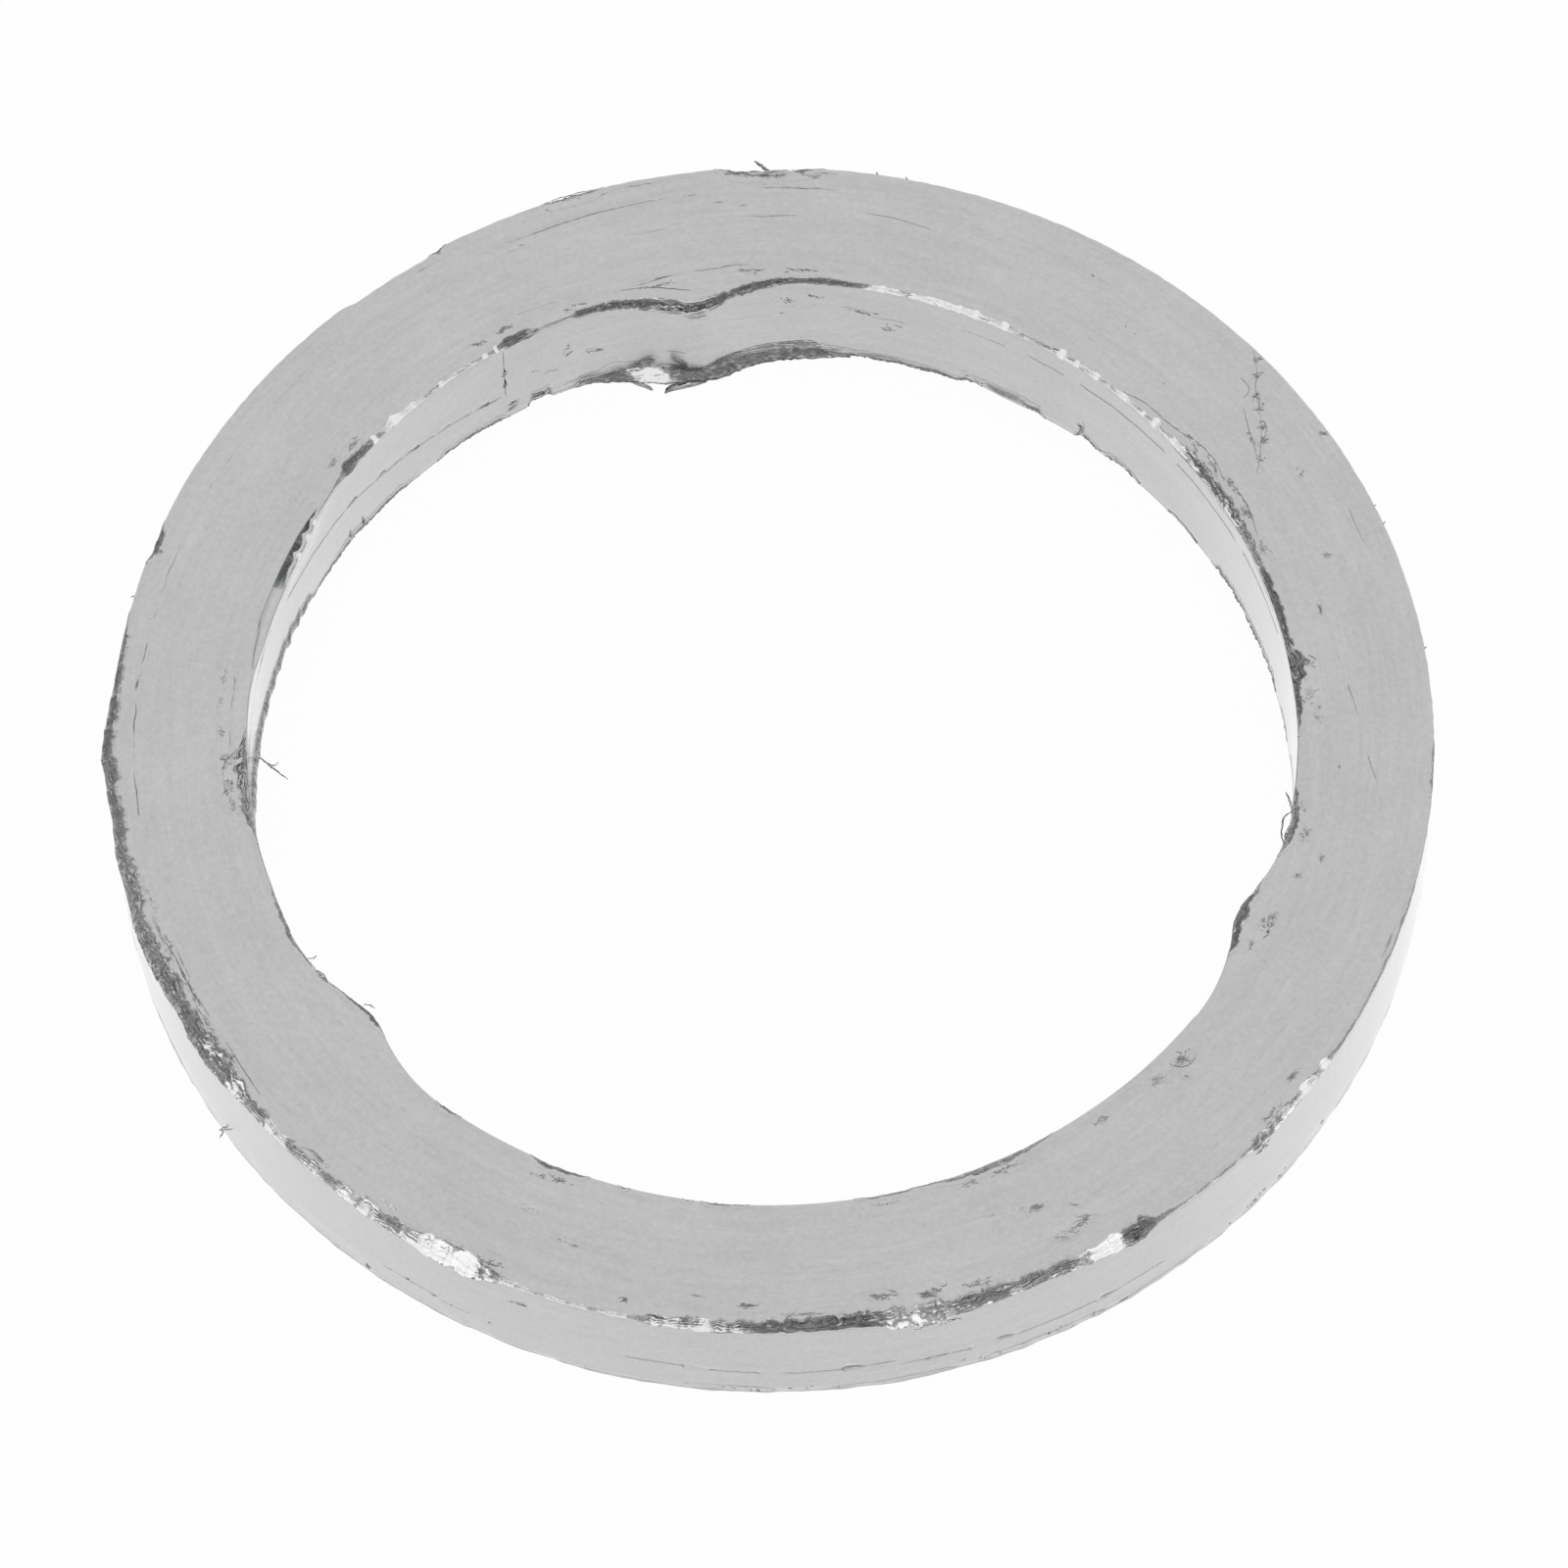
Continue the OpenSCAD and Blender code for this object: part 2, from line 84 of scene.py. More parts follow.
class Board:  # the nodes of one material
    def __init__(self, name):
        self.material = bpy.data.materials.new(name)
        self.material.use_nodes = True
        self.tree = self.material.node_tree
        self.tree.nodes.clear()

    def put(self, kind, settings=None, sockets=None):
        node = self.tree.nodes.new(kind)
        for key, value in (settings or {}).items():
            setattr(node, key, value)
        for key, value in (sockets or {}).items():
            if isinstance(value, Wire):
                self.tree.links.new(value.socket, node.inputs[key])
            else:
                node.inputs[key].default_value = value
        return Wire(self, node.outputs[0] if len(node.outputs) else None)

    def between(self, value, low, high):  # 0 below low, 1 above high, smooth between
        return self.put("ShaderNodeMapRange", {"interpolation_type": "SMOOTHSTEP"},
                        {0: value, 1: low, 2: high, 3: 0.0, 4: 1.0})

    def blend(self, share, first, second):  # colour from first to second
        return self.put("ShaderNodeMix", {"data_type": "RGBA"}, {0: share, 6: first, 7: second}).out(2)

    def cloud(self, place, scale, detail=2.0, rough=0.55):
        return self.put("ShaderNodeTexNoise", {"noise_dimensions": "3D"},
                        {"Vector": place, "Scale": scale, "Detail": detail, "Roughness": rough})

    def streaks(self, across, alongX, alongY, fine, long, detail=2.0):
        # lines that run round the ring: cells per mm across it, and cells per radian along it
        place = self.put("ShaderNodeCombineXYZ", {}, {0: across * fine, 1: alongX * long, 2: alongY * long})
        return self.cloud(place, 1.0, detail)

    def painted(self, name):  # a value that the mesh carries
        return self.put("ShaderNodeAttribute", {"attribute_name": name}).out(2)


def grey(level):  # colour from a display grey of 0 to 255
    share = level / 255
    value = share / 12.92 if share <= 0.04045 else ((share + 0.055) / 1.055) ** 2.4
    return (value * 0.985, value, value * 0.992, 1)


foilLook = {
    "faceGrey": 201,           # the wound edges that make the faces, set lighter than the walls partly as painted light
    "wallGrey": 176,           # the smooth outside of the strip, set darker than the faces partly as painted shade
    "contrast": 40,            # greys that the texture adds or takes away
    "streakShare": 0.18,       # strength of the fine lines that the winding leaves
    "broadShare": 0.16,
    "speckleShare": 0.34,
    "dashShare": 0.3,
    "shadeAndMarkDark": 64,            # greys of the dark areas: painted shade in tears and grooves, and real dark marks
    "shadeAndMarkPale": 138,
    "roughness": 0.22,
    "coat": 1.0,
    "coatIndex": 1.62,
    "coatRoughness": 0.1,
    "grain": 0.00003,
}


def foilSurface(look):
    # The mesh carries two painted values: a darkness, which is painted shade in tears, grooves and gaps together with
    # some real dark marks, and gleam, a painted highlight where the foil shines
    board = Board("pressedFoil")
    place = board.put("ShaderNodeTexCoord").out(3)
    split = board.put("ShaderNodeSeparateXYZ", {}, {0: place})
    x, y, z = split * 1000, split.out(1) * 1000, split.out(2) * 1000
    radius = board.put("ShaderNodeMath", {"operation": "SQRT"}, {0: x * x + y * y})
    across, alongX, alongY = radius + z, x / radius, y / radius
    fineLines = board.streaks(across, alongX, alongY, 9, 9)
    broadLines = board.streaks(across, alongX, alongY, 2.2, 3)
    dashes = board.between(board.streaks(across, alongX, alongY, 6, 26, 3.0), 0.6, 0.74)
    clouding = board.cloud(place, 260.0, 3.0)
    speckle = board.cloud(place, 5600.0, 3.0)
    wavy = across + (board.cloud(place, 900.0, 2.0) - 0.5) * 0.7
    flakes = board.streaks(wavy, alongX, alongY, 6, 32, 2.0)
    strokes = board.streaks(wavy, alongX, alongY, 17, 75, 2.0)
    plates = board.streaks(wavy + 40, alongX, alongY, 5, 30, 3.0)

    tone = ((fineLines - 0.5) * look["streakShare"] + (broadLines - 0.5) * look["broadShare"]
            + (clouding - 0.5) * look["broadShare"] + (speckle - 0.5) * look["speckleShare"]
            - dashes * look["dashShare"] * 0.3)
    # Level faces take the face grey and walls the wall grey; part of this split is painted light that makes the faces
    # lighter than the walls.
    upright = board.put("ShaderNodeSeparateXYZ", {}, {0: place.out(1)}).out(2)
    level = board.put("ShaderNodeMath", {"operation": "ABSOLUTE"}, {0: upright})
    flat = board.between(level, 0.6, 0.95)
    low, high = (board.blend(flat, grey(look["wallGrey"] + sign * look["contrast"]),
                             grey(look["faceGrey"] + sign * look["contrast"])) for sign in (-1, 1))
    base = board.blend(0.5 + tone, low, high)
    shadeAndMarks, gleam = board.painted("shadeAndMarks"), board.painted("gleam")
    # amount and dark paint the darkness in: painted shade in tears, grooves and gaps, and real dark marks
    amount = shadeAndMarks * (1 + (strokes - 0.5) * 2.2 + (flakes - 0.5) * 2.0)
    dark = board.between(amount, 0.28, 0.85)
    shadeAndMarkColour = board.blend(board.between(strokes * 0.6 + flakes * 0.4, 0.4, 0.62),
                             grey(look["shadeAndMarkDark"]), grey(look["shadeAndMarkPale"]))
    # shine paints the foil white and takes off its coat where gleam is high: a painted highlight
    shine = board.between(gleam * (1 + (plates - 0.5) * 2.4 + (strokes - 0.5) * 0.8), 0.6, 0.7)
    colour = board.blend(dark, base, shadeAndMarkColour)
    colour = board.blend(shine, colour, (1, 1, 1, 1))
    roughness = look["roughness"] + (fineLines - 0.5) * 0.15 + dark * 0.15
    lift = fineLines * 0.3 + speckle * 0.4 + amount * strokes * 1.5
    bump = board.put("ShaderNodeBump", {}, {"Strength": 0.35, "Distance": look["grain"], "Height": lift})
    skin = board.put("ShaderNodeBsdfPrincipled", {}, {
        "Base Color": colour, "Metallic": 1.0, "Roughness": roughness, "Normal": bump,
        "Coat Weight": (1 - shine) * look["coat"], "Coat IOR": look["coatIndex"], "Coat Roughness": look["coatRoughness"]})
    board.put("ShaderNodeOutputMaterial", {}, {0: skin})
    return board.material


foil = foilSurface(foilLook)
print("foil material made")


# Mesh helpers

def addPiece(name, points, faces, shadeAndMarks, gleam=None):
    mesh = bpy.data.meshes.new(name)
    mesh.from_pydata((np.asarray(points) * mm).tolist(), [], [list(map(int, face)) for face in faces])
    for key, values in (("shadeAndMarks", shadeAndMarks), ("gleam", gleam if gleam is not None else 0 * np.asarray(shadeAndMarks))):
        mesh.attributes.new(key, "FLOAT", "POINT").data.foreach_set("value", np.asarray(values, dtype=np.float32))
    mesh.polygons.foreach_set("use_smooth", [True] * len(mesh.polygons))
    mesh.materials.append(foil)
    mesh.update()
    piece = bpy.data.objects.new(name, mesh)
    bpy.context.collection.objects.link(piece)
    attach(piece, "root")
    print(name + ":", sum(len(face) - 2 for face in faces), "triangles")
    return piece


def noise(u, v, cellsRound, seed, sharp=False):
    # lattice noise from -1 to 1: u is an angle in degrees, v any number, cellsRound the cells in a full turn
    table = np.random.default_rng(seed).uniform(-1, 1, (cellsRound, 64))
    across, along = np.asarray(v, float), np.asarray(u, float) / 360 * cellsRound
    i, j = np.floor(along).astype(int), np.floor(across).astype(int)
    a, b = along - i, across - j
    if not sharp:
        a, b = a * a * (3 - 2 * a), b * b * (3 - 2 * b)
    i0, i1, j0, j1 = i % cellsRound, (i + 1) % cellsRound, j % 64, (j + 1) % 64
    return ((table[i0, j0] * (1 - a) + table[i1, j0] * a) * (1 - b)
            + (table[i0, j1] * (1 - a) + table[i1, j1] * a) * b)


def angleGap(a, b):
    return (a - b + 180) % 360 - 180


def alongRows(zones, angles, column):
    # a column of the rows at each angle, and 0 outside their zones
    values = np.zeros(np.shape(angles))
    for rows in zones:
        start = rows[0][0]
        turned = (angles - start) % 360 + start
        inside = turned <= rows[-1][0]
        values[inside] = np.interp(turned[inside], [row[0] for row in rows], [row[column] for row in rows])
    return values


def polar(radius, angles, z):
    turn = np.radians(angles)
    radius, turn, z = np.broadcast_arrays(radius, turn, z)
    return np.stack([radius * np.cos(turn), radius * np.sin(turn), z], axis=-1).reshape(-1, 3)


def gridFaces(columns, rows, start=0, closed=False, flip=False):
    # quads between the points of a grid that is stored column by column
    last = columns if closed else columns - 1
    i, j = np.meshgrid(np.arange(last), np.arange(rows - 1), indexing="ij")
    a = start + i * rows + j
    b = start + ((i + 1) % columns) * rows + j
    quads = np.stack([a, a + 1, b + 1, b], axis=-1).reshape(-1, 4)
    return quads[:, ::-1] if flip else quads


# The bore with its three grip dents

dents = {
    "angles": [98, 217.7, 335.5],
    "depth": 0.8,
    "crestR": 2.0,
    "sideR": 7.0,
    "sideCut": 0.03,
}


def boreWall(angles, shape=dents):
    angles = np.asarray(angles, float)
    crestX = boreR - shape["depth"] + shape["crestR"]
    sideX = boreR - shape["sideR"] + shape["sideCut"]
    blend = shape["crestR"] + shape["sideR"]
    sideAngle = math.acos((crestX ** 2 + sideX ** 2 - blend ** 2) / (2 * crestX * sideX))
    crest, side = np.array([crestX, 0]), sideX * np.array([math.cos(sideAngle), math.sin(sideAngle)])
    meet = crest + (side - crest) * shape["crestR"] / blend
    crestAngle = math.atan2(meet[1], meet[0])
    away = np.radians(np.min([np.abs(angleGap(angles, a)) for a in shape["angles"]], axis=0))
    radius = np.full(angles.shape, boreR)
    onSide = (away <= sideAngle) & (away > crestAngle)
    e = away[onSide] - sideAngle
    radius[onSide] = sideX * np.cos(e) + np.sqrt(shape["sideR"] ** 2 - (sideX * np.sin(e)) ** 2)
    onCrest = away <= crestAngle
    e = away[onCrest]
    radius[onCrest] = crestX * np.cos(e) - np.sqrt(shape["crestR"] ** 2 - (crestX * np.sin(e)) ** 2)
    return radius


# Torn edges: rows of angle, width on the face, drop on the wall, hollow, darkness as painted shade, gleam as painted
# highlight

outerTorn = [
    [
        [167, 0, 0, 0, 0.2, 0], [169, 0.12, 0.12, 0.03, 0.6, 0.1], [174, 0.22, 0.25, 0.06, 0.8, 0.1],
        [178, 0.42, 0.45, 0.1, 0.95, 0.15], [181, 0.55, 0.6, 0.12, 0.9, 0.3], [184, 0.48, 0.7, 0.12, 0.95, 0.15],
        [187, 0.45, 0.75, 0.1, 0.8, 0.35], [190, 0.5, 0.9, 0.1, 0.85, 0.2], [194, 0.5, 1.1, 0.1, 0.8, 0.35],
        [196, 0.5, 1.3, 0.06, 0.85, 0.35], [199, 0.5, 1.2, 0.06, 0.95, 0.42], [203, 0.45, 1.05, 0.06, 0.95, 0.4],
        [206.5, 0.42, 0.8, 0.08, 0.95, 0.45], [210, 0.45, 1.0, 0.08, 0.95, 0.5], [213, 0.42, 0.8, 0.08, 0.95, 0.5],
        [216, 0.4, 0.5, 0.12, 0.75, 0.55], [218, 0.34, 0.3, 0.1, 0.6, 0.62], [222, 0.26, 0.25, 0.05, 0.5, 0.66],
        [226, 0.3, 0.3, 0.06, 0.55, 0.62], [229, 0.26, 0.25, 0.05, 0.5, 0.62], [231, 0.32, 0.4, 0.05, 0.45, 0.75],
        [236, 0.4, 0.6, 0.06, 0.6, 0.7], [239, 0.5, 0.75, 0.05, 0.5, 0.92], [242.6, 0.42, 0.75, 0.03, 0.45, 0.95],
        [243.6, 0.36, 0.7, 0.06, 0.7, 0.6], [244.8, 0.26, 0.4, 0.06, 0.6, 0.6], [246, 0.14, 0.18, 0.03, 0.4, 0.8],
        [248, 0.1, 0.1, 0, 0.3, 0.75], [252, 0.08, 0.08, 0, 0.15, 0.7], [257, 0.1, 0.08, 0, 0.25, 0.65],
        [259, 0.26, 0.22, 0.08, 0.6, 0.5], [262, 0.3, 0.25, 0.1, 0.55, 0.62], [265, 0.3, 0.25, 0.1, 0.6, 0.72],
        [267.5, 0.3, 0.2, 0.12, 0.7, 0.5], [269, 0.34, 0.12, 0.2, 1.0, 0.2], [272, 0.4, 0.1, 0.24, 1.25, 0],
        [276, 0.44, 0.1, 0.28, 1.45, 0], [278, 0.44, 0.18, 0.25, 1.2, 0.2], [279.3, 0.45, 0.6, 0.12, 0.55, 0.5],
        [282.5, 0.42, 1.05, 0.08, 0.45, 0.58], [284.5, 0.36, 0.75, 0.08, 0.6, 0.5], [286, 0.3, 0.52, 0.08, 0.75, 0.42],
        [290, 0.28, 0.36, 0.08, 0.65, 0.5], [293, 0.3, 0.25, 0.08, 0.7, 0.4], [295.5, 0.3, 0.35, 0.08, 0.6, 0.45],
        [297.4, 0.28, 0.45, 0.08, 0.45, 0.75], [298.2, 0.26, 0.4, 0.05, 0.3, 0.95], [299.6, 0.38, 0.52, 0.05, 0.2, 1.0], [300.5, 0.3, 0.45, 0.05, 0.3, 0.9],
        [301.1, 0.3, 0.5, 0.1, 0.95, 0.1], [303, 0.32, 0.55, 0.1, 1.0, 0.05], [304.3, 0.14, 0.2, 0.05, 0.5, 0.5],
        [306, 0.08, 0.08, 0, 0.25, 0.5], [314, 0.08, 0.08, 0, 0.25, 0.65], [315.2, 0.16, 0.8, 0.05, 0.8, 0.4],
        [316.6, 0.16, 0.5, 0.05, 0.6, 0.7], [319.5, 0.2, 0.3, 0.05, 0.5, 0.6], [321, 0.2, 0.2, 0.05, 0.5, 0.75],
        [324.5, 0.2, 0.2, 0.06, 0.45, 0.85], [326.5, 0.08, 0.1, 0, 0.3, 0.4], [334, 0.08, 0.08, 0, 0.4, 0.1],
        [342, 0.08, 0.08, 0, 0.35, 0.1], [346, 0, 0, 0, 0.2, 0],
    ],
    [[84.5, 0, 0, 0, 0.2, 0], [86.5, 0.22, 0.2, 0.08, 0.8, 0.1], [87.5, 0.28, 0.2, 0.05, 0.45, 0.85],
     [88.2, 0.32, 0.2, 0.1, 0.9, 0.1], [89.3, 0.32, 0.25, 0.1, 0.5, 0.85], [90.2, 0.32, 0.3, 0.1, 0.95, 0.1],
     [92.5, 0.22, 0.25, 0.1, 0.9, 0.1], [94.5, 0, 0, 0, 0.2, 0]],
    [[104.4, 0, 0, 0, 0.2, 0], [105.4, 0.12, 0.12, 0.02, 0.4, 0.2], [109.4, 0.12, 0.15, 0.02, 0.4, 0.2],
     [110.4, 0, 0, 0, 0.2, 0]],
    [[119.6, 0, 0, 0, 0.2, 0], [120.6, 0.2, 0.3, 0.08, 0.8, 0.1], [121.6, 0, 0, 0, 0.2, 0]],
    [[157.5, 0, 0, 0, 0.2, 0], [159, 0.2, 0.3, 0.08, 0.95, 0], [160.5, 0.2, 0.3, 0.08, 0.9, 0.1],
     [162, 0, 0, 0, 0.2, 0]],
    [[352.6, 0, 0, 0, 0.2, 0], [354, 0.09, 0.1, 0, 0.5, 0.4], [357, 0.09, 0.1, 0, 0.45, 0.5],
     [358.4, 0, 0, 0, 0.2, 0]],
]
upperBoreTorn = [
    [[-1.5, 0, 0, 0, 0.2, 0], [0.5, 0.14, 0.12, 0.03, 0.6, 0.1], [2, 0.2, 0.15, 0.05, 0.9, 0.1],
     [5, 0.22, 0.2, 0.05, 0.9, 0.1], [6.2, 0.45, 0.3, 0.08, 0.85, 0.2], [8, 0.5, 0.35, 0.1, 0.8, 0.2],
     [9.5, 0.22, 0.2, 0.05, 0.85, 0.2], [14, 0.2, 0.2, 0.06, 0.95, 0.05], [19, 0.22, 0.2, 0.08, 0.9, 0.1],
     [20.3, 0.2, 0.2, 0.06, 0.5, 0.65], [21.5, 0.24, 0.2, 0.05, 0.5, 0.35], [24, 0.28, 0.15, 0.05, 0.6, 0.35],
     [26, 0.3, 0.15, 0.05, 0.65, 0.6], [29, 0.35, 0.2, 0.08, 0.85, 0.55], [31, 0.3, 0.2, 0.08, 0.9, 0.6],
     [33.5, 0.36, 0.25, 0.1, 0.9, 0.55], [36, 0.3, 0.22, 0.08, 0.8, 0.6], [37.6, 0.2, 0.15, 0.04, 0.5, 0.9],
     [39.5, 0.12, 0.1, 0, 0.4, 0.75], [45, 0.1, 0.09, 0, 0.3, 0.8], [49, 0.11, 0.1, 0, 0.35, 0.8],
     [52, 0.14, 0.12, 0, 0.45, 0.7], [54.4, 0.14, 0.12, 0, 0.35, 0.8], [57, 0.12, 0.1, 0, 0.45, 0.6],
     [61, 0.12, 0.1, 0, 0.4, 0.6], [64, 0.14, 0.12, 0, 0.4, 0.8], [66, 0.16, 0.12, 0, 0.35, 0.95],
     [68, 0.16, 0.13, 0, 0.35, 0.95], [70, 0.18, 0.14, 0, 0.3, 1.05], [73.5, 0.18, 0.14, 0, 0.3, 1.05],
     [74.2, 0.12, 0.1, 0, 0.4, 0.6], [76, 0.16, 0.12, 0, 0.3, 0.95], [78.4, 0.14, 0.12, 0, 0.35, 0.85],
     [79.5, 0.14, 0.12, 0.02, 0.65, 0.3], [83, 0.16, 0.14, 0.03, 0.75, 0.3], [88, 0.12, 0.2, 0.04, 0.85, 0.2],
     [93, 0.12, 0.42, 0.04, 0.95, 0.1], [96, 0.12, 0.6, 0.02, 0.95, 0.3], [98.5, 0.12, 0.68, 0.02, 0.95, 0.4],
     [100, 0.12, 0.64, 0.03, 0.95, 0.5], [102.8, 0.12, 0.55, 0.04, 0.95, 0.5], [104, 0.12, 0.5, 0.04, 0.95, 0.35],
     [107, 0.12, 0.4, 0.04, 0.95, 0.05], [111, 0.1, 0.25, 0.02, 0.9, 0], [112.5, 0.09, 0.08, 0, 0.4, 0.3],
     [116, 0.08, 0.08, 0, 0.35, 0.4], [117.5, 0.2, 0.2, 0.05, 0.85, 0.1], [119.5, 0.34, 0.28, 0.08, 0.9, 0.1],
     [121, 0.2, 0.2, 0.04, 0.6, 0.55], [122.5, 0.1, 0.08, 0, 0.45, 0.5], [126, 0.1, 0.08, 0, 0.3, 0.7],
     [131, 0.1, 0.09, 0, 0.35, 0.7], [134, 0.14, 0.12, 0, 0.35, 0.95], [137, 0.14, 0.12, 0, 0.35, 0.9],
     [138.5, 0.12, 0.1, 0, 0.5, 0.4], [140.5, 0.25, 0.18, 0.05, 0.7, 0.4], [143.5, 0.28, 0.3, 0.08, 0.85, 0.25],
     [145, 0.12, 0.12, 0.02, 0.5, 0.4], [147, 0.05, 0.05, 0, 0.2, 0.4], [152, 0.05, 0.05, 0, 0.2, 0.62],
     [158, 0.05, 0.05, 0, 0.2, 0.5], [160, 0, 0, 0, 0.1, 0.2]],
    [[177.5, 0, 0, 0, 0.3, 0], [180.5, 0.26, 0.15, 0.05, 0.6, 0.3], [182.5, 0.38, 0.2, 0.06, 0.7, 0.3],
     [184.5, 0.46, 0.22, 0.06, 0.65, 0.35], [187, 0.42, 0.22, 0.06, 0.6, 0.38], [189, 0.3, 0.18, 0.05, 0.55, 0.35],
     [191, 0.14, 0.1, 0, 0.5, 0.2], [193, 0, 0, 0, 0.2, 0]],
    [[197, 0, 0, 0, 0.2, 0], [199, 0.1, 0.1, 0.02, 0.4, 0.3], [203, 0.16, 0.14, 0.05, 0.5, 0.35],
     [206, 0.16, 0.14, 0.05, 0.55, 0.45], [208.6, 0.08, 0.08, 0, 0.4, 0.4], [210, 0.16, 0.12, 0, 0.35, 0.7],
     [211.5, 0.14, 0.1, 0, 0.35, 0.7], [212.6, 0.06, 0.06, 0, 0.2, 0.3], [214, 0.06, 0.06, 0, 0.4, 0.1],
     [215.5, 0.14, 0.22, 0.05, 0.9, 0.1], [218.4, 0.2, 0.35, 0.08, 0.95, 0.05], [219.6, 0.08, 0.12, 0.02, 0.7, 0.1],
     [221, 0, 0, 0, 0.2, 0]],
    [[230.4, 0, 0, 0, 0.2, 0], [231.4, 0.1, 0.1, 0.03, 0.7, 0], [233, 0.1, 0.1, 0.03, 0.7, 0],
     [233.8, 0, 0, 0, 0.2, 0]],
    [[242.5, 0, 0, 0, 0.2, 0], [244, 0.2, 0.16, 0.05, 0.7, 0.35], [246.5, 0.18, 0.16, 0.05, 0.75, 0.4],
     [248.5, 0.14, 0.12, 0.04, 0.6, 0.35], [249.6, 0, 0, 0, 0.2, 0]],
    [[252.6, 0, 0, 0, 0.2, 0], [253.3, 0.1, 0.14, 0.04, 0.8, 0], [254, 0, 0, 0, 0.2, 0]],
    [[259.6, 0, 0, 0, 0.2, 0], [260.3, 0.1, 0.14, 0.04, 0.8, 0], [261, 0, 0, 0, 0.2, 0]],
    [[261.6, 0, 0, 0, 0.2, 0], [262.6, 0.08, 0.08, 0.02, 0.5, 0.1], [266, 0.08, 0.08, 0.02, 0.5, 0.1],
     [267, 0, 0, 0, 0.2, 0]],
    [[278, 0, 0, 0, 0.2, 0], [280, 0.12, 0.1, 0.03, 0.45, 0.35], [283, 0.12, 0.1, 0.03, 0.45, 0.25],
     [284.5, 0.07, 0.06, 0, 0.3, 0.1], [287, 0.07, 0.06, 0, 0.3, 0.2], [288.5, 0.16, 0.1, 0.03, 0.45, 0.4],
     [291, 0.24, 0.12, 0.04, 0.5, 0.35], [294, 0.28, 0.12, 0.04, 0.48, 0.4], [297, 0.2, 0.12, 0.04, 0.5, 0.3],
     [299.5, 0.12, 0.08, 0, 0.4, 0.2], [301, 0, 0, 0, 0.2, 0]],
    [[330, 0, 0, 0, 0.3, 0], [331.5, 0.22, 0.3, 0.1, 0.95, 0], [333, 0.28, 0.36, 0.12, 1.0, 0],
     [335.5, 0.4, 0.36, 0.1, 0.8, 0.15], [337, 0.3, 0.3, 0.08, 0.8, 0.2], [338.5, 0.22, 0.2, 0.05, 0.5, 0.35],
     [340.5, 0, 0, 0, 0.2, 0]],
    [[343.5, 0, 0, 0, 0.2, 0], [345.3, 0.26, 0.15, 0.05, 0.7, 0.35], [348, 0.3, 0.15, 0.05, 0.65, 0.42],
     [350.5, 0.2, 0.14, 0.05, 0.6, 0.35], [352, 0.1, 0.12, 0.03, 0.7, 0.1], [352.7, 0, 0, 0, 0.2, 0]],
]
